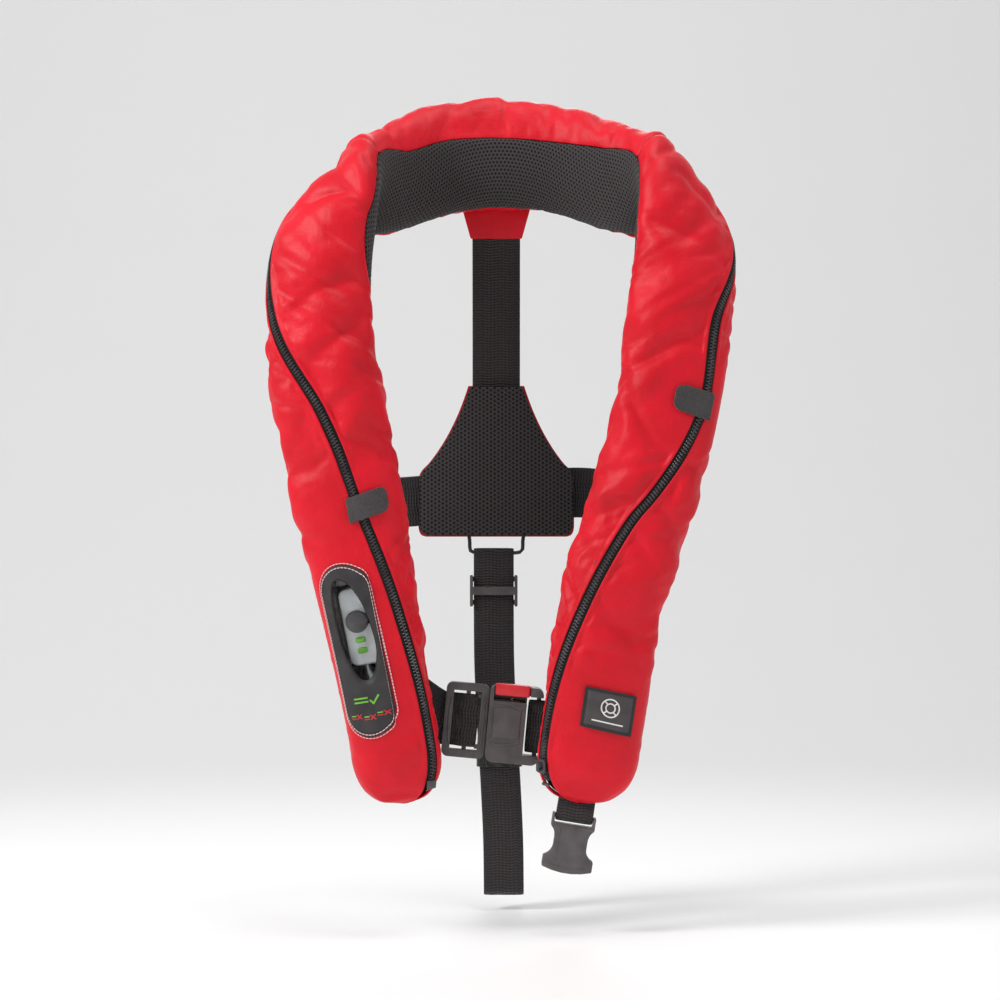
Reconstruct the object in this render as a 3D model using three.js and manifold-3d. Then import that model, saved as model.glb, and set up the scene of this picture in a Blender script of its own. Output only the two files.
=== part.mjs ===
// Inflatable life jacket: a horseshoe cover round a folded bladder, with its zip,
// back pad, waist belt, crotch strap and buckles.
// Millimetres. X to the right, Y to the back, Z up. The origin is the underside of
// the collar at the nape, where a hanger or the wearer's neck carries the jacket.
import * as THREE from "three";
import { mergeVertices } from "three/addons/utils/BufferGeometryUtils.js";
import Module from "manifold-3d";

const wasm = await Module();
wasm.setup();

// ---- driving dimensions -------------------------------------------------------
const SPREAD = 136;        // nape centre line to the widest place of a lobe's centre line
const DROP = 504;          // nape centre line down to the lobe tips
const DEPTH = 110;         // nape centre line forward to the plane of the lobes
const NAPE_HALF = 44;      // half of the collar's height at the nape
const LOBE_HALF = 42;      // half of a lobe's width at the chest
const HALF_THICK = 23;     // half of the folded cover's thickness
const CLOTH = 2;           // cover panel: nylon with its padding
const GAP = 0.4;           // clearance between pieces that lie on each other
const ZIP_WIDTH = 8;       // both zip tapes together
const TEETH_WIDTH = 4.4;
const BELT_WIDTH = 40;     // waist webbing
const STRAP_WIDTH = 32;    // crotch webbing
const BACK_STRAP_WIDTH = 38;
const WEB = 1.8;           // thickness of all webbing
const BUCKLE_HEIGHT = 59;
const PAD_WIDTH = 122;
const PAD_HEIGHT = 118;

// ---- small helpers --------------------------------------------------------------
const group = new THREE.Group();
group.name = "inflatable_life_jacket";

const FINISH = {
  red_nylon: [0xd8182a, 0.62, 0],
  red_backing: [0xb81424, 0.8, 0],
  spacer_mesh: [0x2a2829, 0.9, 0],
  black_webbing: [0x262426, 0.85, 0],
  black_lining: [0x1c1b1d, 0.85, 0],
  bladder: [0xe6b422, 0.5, 0],
  zip_plastic: [0x1a1a1c, 0.4, 0],
  grey_plastic: [0x575454, 0.5, 0],
  red_plastic: [0xe63a46, 0.4, 0],
  white_plastic: [0xe9e9e6, 0.4, 0],
  green_plastic: [0x7bc043, 0.4, 0],
  clear_vinyl: [0xdfe6e8, 0.1, 0],
  panel_print: [0x2b2a2c, 0.7, 0],
  patch_rubber: [0x39373a, 0.6, 0],
  wire_steel: [0x2e2e30, 0.45, 0.8],
  bright_steel: [0xb8bcc0, 0.3, 1],
  tab_velcro: [0x464243, 0.95, 0],
};

function add(name, geometry, finish) {
  const [color, roughness, metalness] = FINISH[finish];
  const material = new THREE.MeshStandardMaterial({ color, roughness, metalness });
  const mesh = new THREE.Mesh(geometry, material);
  mesh.name = name;
  group.add(mesh);
  return mesh;
}

function clean(geometry) {
  const copy = geometry.index ? geometry.toNonIndexed() : geometry.clone();
  copy.deleteAttribute("normal");
  copy.deleteAttribute("uv");
  return mergeVertices(copy, 1e-4);
}

// A closed body from a list of points and triangles, turned outwards if it came out inside out.
function solid(points, faces) {
  let volume = 0;
  for (const [a, b, c] of faces) {
    volume += points[a].dot(new THREE.Vector3().crossVectors(points[b], points[c]));
  }
  const geometry = new THREE.BufferGeometry();
  geometry.setAttribute("position",
    new THREE.Float32BufferAttribute(points.flatMap((p) => [p.x, p.y, p.z]), 3));
  geometry.setIndex(faces.flatMap(([a, b, c]) => (volume > 0 ? [a, b, c] : [a, c, b])));
  return geometry;
}

// A curved slab: point(r, c, side) gives its two skins, side 0 and 1, for r and c from 0 to 1.
function slab(rows, cols, point) {
  const points = [];
  const at = (r, c, side) => (side * (rows + 1) + r) * (cols + 1) + c;
  for (const side of [0, 1]) {
    for (let r = 0; r <= rows; r += 1) {
      for (let c = 0; c <= cols; c += 1) points.push(point(r / rows, c / cols, side));
    }
  }
  const faces = [];
  const quad = (a, b, c, d) => faces.push([a, b, c], [a, c, d]);
  for (let r = 0; r < rows; r += 1) {
    for (let c = 0; c < cols; c += 1) {
      quad(at(r, c, 0), at(r, c + 1, 0), at(r + 1, c + 1, 0), at(r + 1, c, 0));
      quad(at(r, c, 1), at(r + 1, c, 1), at(r + 1, c + 1, 1), at(r, c + 1, 1));
    }
    quad(at(r, 0, 0), at(r + 1, 0, 0), at(r + 1, 0, 1), at(r, 0, 1));
    quad(at(r, cols, 0), at(r, cols, 1), at(r + 1, cols, 1), at(r + 1, cols, 0));
  }
  for (let c = 0; c < cols; c += 1) {
    quad(at(0, c, 0), at(0, c, 1), at(0, c + 1, 1), at(0, c + 1, 0));
    quad(at(rows, c, 0), at(rows, c + 1, 0), at(rows, c + 1, 1), at(rows, c, 1));
  }
  return solid(points, faces);
}

// A closed tube through rings of points, with a flat fan at each end.
function ringSolid(rings) {
  const count = rings[0].length;
  const points = rings.flat();
  const faces = [];
  for (let r = 0; r + 1 < rings.length; r += 1) {
    for (let c = 0; c < count; c += 1) {
      const next = (c + 1) % count;
      const [a, b] = [r * count + c, r * count + next];
      faces.push([a, b, b + count], [a, b + count, a + count]);
    }
  }
  for (const [ring, flip] of [[0, true], [rings.length - 1, false]]) {
    const centre = new THREE.Vector3();
    rings[ring].forEach((p) => centre.addScaledVector(p, 1 / count));
    const hub = points.push(centre) - 1;
    for (let c = 0; c < count; c += 1) {
      const [a, b] = [ring * count + c, ring * count + ((c + 1) % count)];
      faces.push(flip ? [hub, b, a] : [hub, a, b]);
    }
  }
  return solid(points, faces);
}

function toManifold(geometry) {
  const merged = clean(geometry);
  return new wasm.Manifold(new wasm.Mesh({
    numProp: 3,
    vertProperties: new Float32Array(merged.attributes.position.array),
    triVerts: new Uint32Array(merged.index.array),
  }));
}

function fromManifold(body) {
  const mesh = body.getMesh();
  const geometry = new THREE.BufferGeometry();
  geometry.setAttribute("position", new THREE.Float32BufferAttribute(mesh.vertProperties, 3));
  geometry.setIndex(Array.from(mesh.triVerts));
  return geometry;
}

function cut(geometry, ...tools) {
  let body = toManifold(geometry);
  for (const tool of tools) body = body.subtract(toManifold(tool));
  return fromManifold(body);
}

function join(...geometries) {
  return fromManifold(geometries.map(toManifold).reduce((all, one) => all.add(one)));
}

function box(width, depth, height, x, y, z) {
  return new THREE.BoxGeometry(width, depth, height).translate(x, y, z);
}

// A rounded rectangle in X and Z, as thick as `depth` in Y, centred on x, y, z.
function plate(width, height, depth, radius, x = 0, y = 0, z = 0) {
  const shape = new THREE.Shape();
  const [w, h] = [width / 2, height / 2];
  shape.moveTo(-w + radius, -h);
  shape.lineTo(w - radius, -h);
  shape.absarc(w - radius, -h + radius, radius, -Math.PI / 2, 0);
  shape.absarc(w - radius, h - radius, radius, 0, Math.PI / 2);
  shape.absarc(-w + radius, h - radius, radius, Math.PI / 2, Math.PI);
  shape.absarc(-w + radius, -h + radius, radius, Math.PI, 1.5 * Math.PI);
  return upright(shape, depth).translate(x, y, z);
}

// A shape drawn in X and Z, extruded in Y and centred there.
function upright(shape, depth, curveSegments = 4) {
  const geometry = new THREE.ExtrudeGeometry(shape, { depth, bevelEnabled: false, curveSegments });
  return geometry.translate(0, 0, -depth / 2).rotateX(Math.PI / 2);
}

// ---- the cover's shape ------------------------------------------------------------
// One station of the cover per row, from a lobe's tip to the nape. Left and right places
// are shares of SPREAD, `down` of DROP, `ahead` of DEPTH; `turn` swings the side that
// lies on the wearer from straight back, on the lobes, to straight ahead, at the nape.
// `half` and `thick` are shares of LOBE_HALF and HALF_THICK, and the zips' places are
// degrees from the outer edge over the front; `rim` is where the lining meets the inner
// panel, from the outer edge over the wearer's side.
const STATIONS = [
  { left: 0.53, right: 0.45, down: 0.995, ahead: 0.93, turn: 0,
    half: [0.8, 0.9], thick: 0.7, zip: [139, 150], rim: [166, 166] },
  { left: 0.61, right: 0.52, down: 0.86, ahead: 0.97, turn: 0,
    half: [0.81, 0.92], thick: 0.85, zip: [139, 149], rim: [166, 166] },
  { left: 0.71, right: 0.6, down: 0.717, ahead: 1.0, turn: 0,
    half: [0.87, 0.96], thick: 0.92, zip: [122, 118], rim: [166, 166] },
  { left: 0.82, right: 0.765, down: 0.562, ahead: 1.0, turn: 0,
    half: [0.97, 0.98], thick: 0.98, zip: [98, 91], rim: [166, 166] },
  { left: 0.935, right: 0.92, down: 0.403, ahead: 1.0, turn: 0,
    half: [1.0, 0.94], thick: 1, zip: [82, 54], rim: [166, 166] },
  { left: 1.0, right: 0.99, down: 0.268, ahead: 0.97, turn: 5,
    half: [0.96, 0.96], thick: 1, zip: [37, 54], rim: [167, 166] },
  { left: 0.97, right: 1.02, down: 0.155, ahead: 0.87, turn: 25,
    half: [0.93, 0.93], thick: 1, zip: [18, 20], rim: [194, 168] },
  { left: 0.85, right: 0.95, down: 0.078, ahead: 0.64, turn: 62,
    half: [0.95, 0.95], thick: 0.98, zip: [52, 52], rim: [151, 140] },
  { left: 0.62, right: 0.67, down: 0.046, ahead: 0.29, turn: 105,
    half: [1.0, 1.0], thick: 0.95, zip: [68, 68], rim: [121, 125] },
  { left: 0.335, right: 0.35, down: 0.011, ahead: 0.06, turn: 145,
    half: [1.03, 1.03], thick: 0.95, zip: [70, 70], rim: [106, 104] },
];
const NAPE = {
  left: 0, right: 0, down: 0, ahead: 0, turn: 180,
  half: [1, 1], thick: 0.95, zip: [70, 70], rim: [100, 100],
};
const NAPE_AT = STATIONS.length;
const LAST = 2 * NAPE_AT;
const SHOULDER_SEAM = 7.3;         // station of the seam between a lobe and the collar
const SQUARENESS = 2.4;            // 2 is an ellipse; more is boxier
const LINING_EDGE_OUT = 24;        // degrees from the outer edge to the lining
const TIP_ROUND = 0.62;            // stations over which a tip rounds off
const rad = THREE.MathUtils.degToRad;

function stationAt(index) {
  const clamped = Math.min(LAST, Math.max(0, index));
  const row = clamped === NAPE_AT ? NAPE : STATIONS[Math.min(clamped, LAST - clamped)];
  const right = clamped > NAPE_AT;
  return {
    x: (right ? row.right : -row.left) * SPREAD,
    y: -row.ahead * DEPTH,
    z: NAPE_HALF - row.down * DROP,
    half: row.half[right ? 1 : 0] * (clamped === NAPE_AT ? NAPE_HALF : LOBE_HALF),
    thick: row.thick * HALF_THICK,
    turn: right ? 360 - row.turn : row.turn,
    zip: row.zip[right ? 1 : 0],
    rim: row.rim[right ? 1 : 0],
  };
}

// Any value of the stations at a place between them, on one smooth curve.
function along(key, s) {
  const i = Math.min(LAST - 1, Math.max(0, Math.floor(s)));
  const t = s - i;
  const [a, b, c, d] = [-1, 0, 1, 2].map((step) => stationAt(i + step)[key]);
  return b + 0.5 * t * (c - a + t * (2 * a - 5 * b + 4 * c - d + t * (3 * (b - c) + d - a)));
}

const spine = (s) => new THREE.Vector3(along("x", s), along("y", s), along("z", s));

// How far the section has closed, near the two tips.
function tipScale(s) {
  const left = Math.min(1, Math.min(s, LAST - s) / TIP_ROUND);
  return Math.max(0.12, Math.sqrt(1 - (1 - left) ** 2));
}

// The section's axes at a place: `out` to the outer edge and `body` to the wearer. The
// wearer's side turns half round from a lobe to the nape; a tip keeps its lobe's axes.
function axesAt(s) {
  const step = 0.02;
  const inside = Math.min(LAST - 0.4, Math.max(0.4, s));
  const tangent = spine(inside + step).sub(spine(inside - step)).normalize();
  const turn = rad(along("turn", inside));
  const body = new THREE.Vector3(Math.sin(turn), Math.cos(turn), 0);
  body.addScaledVector(tangent, -body.dot(tangent)).normalize();
  const out = new THREE.Vector3().crossVectors(tangent, body);
  return { tangent, body, out };
}

// A point of the cover. `angle` is in degrees: 0 the outer edge, 90 the wearer's side,
// 180 the inner edge, -90 the front. On the right half the same angles hold.
function sectionPoint(s, angle, inset = 0) {
  const { body, out } = axesAt(s);
  const power = 2 / SQUARENESS;
  const close = tipScale(s);
  const half = Math.max(1, along("half", s) * close - inset);
  const thick = Math.max(1, along("thick", s) * close - inset);
  const [c, n] = [Math.cos(rad(angle)), Math.sin(rad(angle))];
  const across = Math.sign(c) * Math.abs(c) ** power * half;
  const deep = Math.sign(n) * Math.abs(n) ** power * thick;
  return spine(s).addScaledVector(out, across).addScaledVector(body, deep);
}

function normalAt(s, angle) {
  const round = sectionPoint(s, angle + 2).sub(sectionPoint(s, angle - 2));
  const on = sectionPoint(Math.min(LAST, s + 0.04), angle).sub(sectionPoint(Math.max(0, s - 0.04), angle));
  const normal = new THREE.Vector3().crossVectors(on, round).normalize();
  const away = sectionPoint(s, angle).sub(spine(s));
  return normal.dot(away) < 0 ? normal.negate() : normal;
}

// A point `lift` above the cover's skin; a negative lift goes into the cover.
function coverPoint(s, angle, lift = 0) {
  return sectionPoint(s, angle).addScaledVector(normalAt(s, angle), lift);
}

// The angle that lies `distance` further round the section than `angle`.
function roundBy(s, angle, distance) {
  const steps = 6;
  let at = angle;
  for (let i = 0; i < steps; i += 1) {
    const speed = sectionPoint(s, at + 1).distanceTo(sectionPoint(s, at - 1)) / 2;
    at += distance / steps / Math.max(0.05, speed);
  }
  return at;
}

// The station that lies `distance` further along the cover.
function alongBy(s, distance) {
  const speed = spine(s + 0.1).distanceTo(spine(s - 0.1)) / 0.2;
  return s + distance / speed;
}

// Edges of the panels, in degrees round the section. Every edge is a function of the place.
const napeShare = (s) => THREE.MathUtils.smoothstep(Math.min(s, LAST - s), 6, 9);
const zipAngle = (s) => -along("zip", s);
const liningOut = (s) => THREE.MathUtils.lerp(LINING_EDGE_OUT, 10, napeShare(s));
const liningIn = (s) => along("rim", s);
const zipEdge = (s, side) => roundBy(s, zipAngle(s), side * (ZIP_WIDTH / 2 + GAP / 2));

function coverPanel(name, rows, cols, edgeA, edgeB, finish) {
  add(name, slab(rows.length - 1, cols, (r, c, side) => {
    const s = rows[Math.round(r * (rows.length - 1))];
    const angle = THREE.MathUtils.lerp(edgeA(s), edgeB(s), c);
    return sectionPoint(s, angle, side * CLOTH);
  }), finish);
}

// ---- cover panels -------------------------------------------------------------------
const SEAM_SLIT = 0.012;   // stations left open at a seam between panels
const SKEW_SLIT = 1.5;     // degrees left open where the lining meets the shell
const ZIP_END = 0.28;      // station where the zip starts on each lobe
const LOBE_ROWS = [0, 0.1, ZIP_END, 0.6, 1, 1.5, 2, 2.5, 3, 3.5, 4, 4.5, 5, 5.5, 6, 6.5, 6.9,
  SHOULDER_SEAM - SEAM_SLIT];
const COLLAR_HALF = [SHOULDER_SEAM + SEAM_SLIT, 7.6, 8, 8.4, 8.8, 9.2, 9.6];
const mirrored = (rows) => rows.map((s) => LAST - s).reverse();
const PANEL_ROWS = {
  left: LOBE_ROWS,
  collar: [...COLLAR_HALF, NAPE_AT, ...mirrored(COLLAR_HALF)],
  right: mirrored(LOBE_ROWS),
};
for (const [side, rows] of Object.entries(PANEL_ROWS)) {
  coverPanel(`cover_${side}_outer`, rows, 5,
    (s) => liningOut(s) - SKEW_SLIT, (s) => zipEdge(s, 1), "red_nylon");
  coverPanel(`cover_${side}_inner`, rows, 5,
    (s) => zipEdge(s, -1), (s) => liningIn(s) - 360 + SKEW_SLIT, "red_nylon");
}
// The mesh lining reaches from the collar down to the lobes' upper ends.
const LINING_SEAM = 5.5;
const ALL_ROWS = Object.values(PANEL_ROWS).flat();
const lobeLining = [...LOBE_ROWS.filter((s) => s < LINING_SEAM), LINING_SEAM - SEAM_SLIT];
const liningRows = {
  left: lobeLining,
  collar: [LINING_SEAM + SEAM_SLIT, ...ALL_ROWS.filter((s) => s > LINING_SEAM && s < LAST - LINING_SEAM),
    LAST - LINING_SEAM - SEAM_SLIT],
  right: mirrored(lobeLining),
};
for (const [side, rows] of Object.entries(liningRows)) {
  coverPanel(`lining_${side}`, rows, 5,
    liningOut, liningIn, side === "collar" ? "spacer_mesh" : "black_lining");
}

// ---- folded bladder -------------------------------------------------------------------
const BLADDER_INSET = CLOTH + 4.6;
const bladderRings = [];
for (let i = 0; i <= 30; i += 1) {
  const s = 0.25 + (LAST - 0.5) * (i / 30);
  const ring = [];
  for (let a = 0; a < 12; a += 1) ring.push(sectionPoint(s, a * 30, BLADDER_INSET));
  bladderRings.push(ring);
}
const bladderWhole = ringSolid(bladderRings);

// ---- zip --------------------------------------------------------------------------------
const ZIP_ROWS = Object.values(PANEL_ROWS).flat().filter((s) => s >= ZIP_END && s <= LAST - ZIP_END);
function zipStrip(half, sink, thick) {
  return slab(ZIP_ROWS.length - 1, 2, (r, c, side) => {
    const s = ZIP_ROWS[Math.round(r * (ZIP_ROWS.length - 1))];
    const angle = roundBy(s, zipAngle(s), (c * 2 - 1) * half);
    return sectionPoint(s, angle, sink + side * thick);
  });
}
const TAPE_SINK = 1.4;
const TAPE_THICK = 0.9;
const TEETH_PROUD = 0.9;
const TEETH_DEEP = 0.6;
add("zip_tape", zipStrip(ZIP_WIDTH / 2 - GAP / 2, TAPE_SINK, TAPE_THICK), "zip_plastic");
add("zip_teeth", zipStrip(TEETH_WIDTH / 2, -TEETH_PROUD, TEETH_PROUD + TEETH_DEEP), "zip_plastic");

// A frame on the cover: X across the lobe (to the outer edge on the left lobe it is -X),
// Z along it and Y into the cover, as the upright shapes are drawn.
function frameOn(s, angle, lift) {
  const into = normalAt(s, angle).negate();
  const up = axesAt(s).tangent.clone();
  if (s > NAPE_AT) up.negate();
  up.addScaledVector(into, -up.dot(into)).normalize();
  const across = new THREE.Vector3().crossVectors(into, up);
  return new THREE.Matrix4().makeBasis(across, into, up).setPosition(coverPoint(s, angle, lift));
}

// A patch that follows the cover: `halfAt` gives its half width at each share of its length.
function patch(s0, angle0, length, halfAt, rows, cols, low, high, slant = 0) {
  return slab(rows, cols, (r, c, side) => {
    const q = (r - 0.5) * length;
    const p = (c * 2 - 1) * halfAt(r);
    const s = alongBy(s0, (s0 > NAPE_AT ? -1 : 1) * (q - slant * p));
    return coverPoint(s, roundBy(s, angle0, p), side ? high : low);
  });
}

// ---- zip slider, parked against the right end stop ------------------------------------------
const sliderAt = LAST - ZIP_END - 0.16;
const sliderFrame = frameOn(sliderAt, zipAngle(sliderAt), 0);
const SLIDER_LENGTH = 11;
const SLIDER_WIDTH = 8.4;
const sliderBody = join(
  plate(SLIDER_WIDTH, SLIDER_LENGTH, 1.4, 2.4, 0, -2.4, 0),
  box(2.4, 2.8, 1.6, 0, -4, -2.4),
  box(2.4, 2.8, 1.6, 0, -4, 2.4),
  box(2.4, 1.2, 6.4, 0, -5.9, 0),
);
add("zip_slider", sliderBody.applyMatrix4(sliderFrame), "zip_plastic");
const stopFrame = frameOn(LAST - ZIP_END + 0.02, zipAngle(LAST - ZIP_END), 0);
add("zip_end_stop", plate(6.5, 2.2, 2, 0.6, 0, -2.2, -0.6).applyMatrix4(stopFrame), "zip_plastic");
const startFrame = frameOn(ZIP_END - 0.02, zipAngle(ZIP_END), 0);
add("zip_start_box", plate(7.5, 7, 2.2, 1, 0, -2.2, 0).applyMatrix4(startFrame), "zip_plastic");

// ---- zip tabs: sewn on the outer panel, gripping the inner one over the zip -----------------
const TAB_LENGTH = 29;
const TAB_WIDTH = 19;
const TAB_SHIFT = 8;                // its middle lies this far towards the inner edge of the zip
const TAB_CORNER = 6;              // radius of a tab's free corners
const TAB_UNDER = 1.2;             // height of a tab's faces over the cover
const TAB_TOP = 3;
function zipTab(name, s, swing) {
  const middle = roundBy(s, zipAngle(s), -TAB_SHIFT);
  const rounded = (share) => {
    const fromEnd = (1 - share) * TAB_LENGTH;
    const short = Math.max(0, TAB_CORNER - fromEnd);
    const nip = TAB_CORNER - Math.sqrt(TAB_CORNER ** 2 - short ** 2);
    return TAB_WIDTH / 2 - nip;
  };
  add(name, slab(7, 2, (share, c, side) => {
    const reach = (share - 0.5) * TAB_LENGTH;
    const q = (c * 2 - 1) * rounded(share);
    const at = alongBy(s, q - swing * reach);
    return coverPoint(at, roundBy(at, middle, -reach), side ? TAB_TOP : TAB_UNDER);
  }), "tab_velcro");
}
const TAB_LEFT_AT = 3.04;
const TAB_RIGHT_AT = 15.93;
zipTab("zip_tab_left", TAB_LEFT_AT, -0.15);
zipTab("zip_tab_right", TAB_RIGHT_AT, 0.1);

// ---- inspection window on the left lobe ------------------------------------------------------
const PATCH_LIFT = 0.9;            // patches ride this far above the cover, which has flat facets
const WINDOW_AT = 1.68;
const windowAngle = -70;
const PLATE_LENGTH = 128;
const PLATE_HALF = 19.5;
const stadium = (length, half) => (share) => {
  const fromEnd = Math.min(share, 1 - share) * length;
  return fromEnd >= half ? half : Math.max(1.5, Math.sqrt(half ** 2 - (half - fromEnd) ** 2));
};
const VIEW_LENGTH = 74;
const VIEW_HALF = 11.5;
const viewAt = alongBy(WINDOW_AT, 17);
const viewOutline = stadium(VIEW_LENGTH, VIEW_HALF);
const viewCutter = patch(viewAt, windowAngle, VIEW_LENGTH, viewOutline, 14, 2, -6, 6);
const clearView = patch(viewAt, windowAngle, VIEW_LENGTH - 1, stadium(VIEW_LENGTH - 1, VIEW_HALF - 0.5),
  14, 2, 0.2, 0.9);
const platePatch = patch(WINDOW_AT, windowAngle, PLATE_LENGTH, stadium(PLATE_LENGTH, PLATE_HALF),
  18, 5, PATCH_LIFT, PATCH_LIFT + 1);
add("window_panel", cut(platePatch, viewCutter), "panel_print");
add("window_clear", clearView, "clear_vinyl");
const windowHole = patch(viewAt, windowAngle, VIEW_LENGTH - 3, stadium(VIEW_LENGTH - 3, VIEW_HALF - 1.5),
  14, 2, -6, 6);
const holed = group.getObjectByName("cover_left_outer");
holed.geometry = cut(holed.geometry, windowHole);

// ---- inflator behind the window -----------------------------------------------------------------
const inflatorFrame = frameOn(viewAt, windowAngle - 6, 0);
const INFLATOR_WIDTH = 22;
const INFLATOR_LENGTH = 58;
const INFLATOR_FRONT = 8;        // depth of its front below the cover's skin
const place = (geometry) => geometry.applyMatrix4(inflatorFrame);
add("inflator_body", place(plate(INFLATOR_WIDTH, INFLATOR_LENGTH, 14, 6, 0, INFLATOR_FRONT + 7, 2)),
  "white_plastic");
const KNOB_RADIUS = 8.5;
const knobHeight = 3;
add("inflator_cap", place(new THREE.CylinderGeometry(KNOB_RADIUS, KNOB_RADIUS, knobHeight, 20)
  .translate(0, INFLATOR_FRONT - GAP - knobHeight / 2, 6)), "grey_plastic");
for (const [name, down] of [["upper", 12], ["lower", 20]]) {
  add(`inflator_indicator_${name}`,
    place(plate(7, 4, 1.6, 1, 0, INFLATOR_FRONT - GAP - 0.8, -down + 4)), "green_plastic");
}
const CYLINDER_RADIUS = 8;
const CYLINDER_LENGTH = 70;
const cylinderProfile = [[0, 0], [CYLINDER_RADIUS * 0.5, 1], [CYLINDER_RADIUS, 6],
  [CYLINDER_RADIUS, CYLINDER_LENGTH - 16], [3.4, CYLINDER_LENGTH - 5], [3.4, CYLINDER_LENGTH], [0,
    CYLINDER_LENGTH]];
const gasCylinder = new THREE.LatheGeometry(cylinderProfile.map(([r, h]) => new THREE.Vector2(r, h)), 16)
  .rotateX(Math.PI / 2).translate(0, INFLATOR_FRONT + 9, -INFLATOR_LENGTH / 2 + 1.6 - CYLINDER_LENGTH);
add("gas_cylinder", place(gasCylinder), "bright_steel");
const inflatorPocket = place(box(INFLATOR_WIDTH + 4, 54, INFLATOR_LENGTH + CYLINDER_LENGTH + 6,
  0, 0, 2 - CYLINDER_LENGTH / 2));

// ---- oral tube, its cap and the whistle, inside the right lobe ----------------------------------
const oralFrame = frameOn(LAST - 2.4, -96, 0);
const putOral = (geometry) => geometry.applyMatrix4(oralFrame);
const TUBE_RADIUS = 6;
const TUBE_LENGTH = 80;
add("oral_tube", putOral(new THREE.CylinderGeometry(TUBE_RADIUS, TUBE_RADIUS, TUBE_LENGTH, 14)
  .rotateX(Math.PI / 2).translate(0, 12, -8)), "black_lining");
add("oral_valve_cap", putOral(new THREE.CylinderGeometry(TUBE_RADIUS + 1.6, TUBE_RADIUS + 1.6, 12, 16)
  .rotateX(Math.PI / 2).translate(0, 12, TUBE_LENGTH / 2 - 8 + 6 + GAP)), "red_plastic");
add("whistle", putOral(plate(9, 34, 8, 3, 14, 12, -2)), "red_plastic");
const oralPocket = putOral(box(44, 48, TUBE_LENGTH + 34, 5, -2, -1));
add("bladder_folded", cut(bladderWhole, inflatorPocket, oralPocket), "bladder");

// ---- generic maker's patch on the right lobe ----------------------------------------------------
const PATCH_AT = LAST - 1.07;
add("maker_patch", patch(PATCH_AT, -78, 30, () => 19.5, 3, 5, PATCH_LIFT, PATCH_LIFT + 1.3, 0.09),
    "patch_rubber");

// ---- back harness: tab, strap and pad -----------------------------------------------------------
const HARNESS_X = -3;                  // the harness hangs a little off the middle
const BACK_Y = 18;                     // plane of the webbing behind the wearer
const TAB_BOTTOM = -22;
const PAD_TOP = -140;
const PAD_BOTTOM = PAD_TOP - PAD_HEIGHT;
const PAD_NECK = 42;                   // pad width at its top
const PAD_SHOULDER = PAD_HEIGHT * 0.57;  // from the top down to where the sides turn straight
const LAYER = 3;

function trapezoid(top, bottom, high, low) {
  const shape = new THREE.Shape();
  shape.moveTo(-bottom / 2, low);
  shape.lineTo(bottom / 2, low);
  shape.lineTo(top / 2, high);
  shape.lineTo(-top / 2, high);
  return shape;
}
// The tab's top follows the lowest point of the collar over its width.
const TAB_TOP_WIDTH = 52;
function underCollar(halfWidth) {
  const places = group.getObjectByName("cover_collar_outer").geometry.getAttribute("position");
  let lowest = Infinity;
  for (let i = 0; i < places.count; i += 1) {
    const near = Math.abs(places.getX(i) - HARNESS_X) < halfWidth;
    if (near) lowest = Math.min(lowest, places.getZ(i));
  }
  return lowest;
}
const TAB_UPPER = underCollar(TAB_TOP_WIDTH * 0.6) - GAP;
add("back_tab", upright(trapezoid(TAB_TOP_WIDTH, BACK_STRAP_WIDTH, TAB_UPPER, TAB_BOTTOM), 4)
  .translate(HARNESS_X, 8, 0), "red_nylon");

// The pad's outline, grown by `grow` for the backing that shows past the mesh.
function padOutline(grow) {
  const shape = new THREE.Shape();
  const [neck, wide] = [PAD_NECK / 2 + grow, PAD_WIDTH / 2 + grow];
  const shoulder = PAD_TOP - PAD_SHOULDER;
  shape.moveTo(-wide + 6, PAD_BOTTOM - grow);
  shape.lineTo(wide - 6, PAD_BOTTOM - grow);
  shape.quadraticCurveTo(wide, PAD_BOTTOM - grow, wide, PAD_BOTTOM + 8);
  shape.lineTo(wide, shoulder - 8);
  shape.quadraticCurveTo(wide, shoulder, wide - 7, shoulder + 5);
  shape.quadraticCurveTo(neck + 12, shoulder + 30, neck, PAD_TOP + grow);
  shape.lineTo(-neck, PAD_TOP + grow);
  shape.quadraticCurveTo(-neck - 12, shoulder + 30, -wide + 7, shoulder + 5);
  shape.quadraticCurveTo(-wide, shoulder, -wide, shoulder - 8);
  shape.lineTo(-wide, PAD_BOTTOM + 8);
  shape.quadraticCurveTo(-wide, PAD_BOTTOM - grow, -wide + 6, PAD_BOTTOM - grow);
  return shape;
}
const FOAM = 5;
const POCKET = 1.9;                    // room each side of the webbing's plane, for the ring's wire
const RING_RADIUS = 1.5;               // of the ring's wire
const RING_TOP = 44;
const RING_BOTTOM = 41;
const ringTopZ = PAD_BOTTOM + 5;
const ringLowZ = PAD_BOTTOM - 14;
const foamMiddle = BACK_Y - POCKET - FOAM / 2;
const meshMiddle = foamMiddle - FOAM / 2 - GAP - LAYER / 2;
add("back_pad_mesh", upright(padOutline(0), LAYER).translate(HARNESS_X, meshMiddle, 0), "spacer_mesh");
const ringNotch = box(RING_TOP + 10, FOAM + 2, 30, HARNESS_X, foamMiddle, PAD_BOTTOM - 15 + 11);
add("back_pad_foam", cut(upright(padOutline(-1.5), FOAM).translate(HARNESS_X, foamMiddle, 0), ringNotch),
  "black_lining");
add("back_pad_backing", upright(padOutline(1.2), 1.4)
  .translate(HARNESS_X, BACK_Y + POCKET + 0.7, 0), "red_backing");

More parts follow.
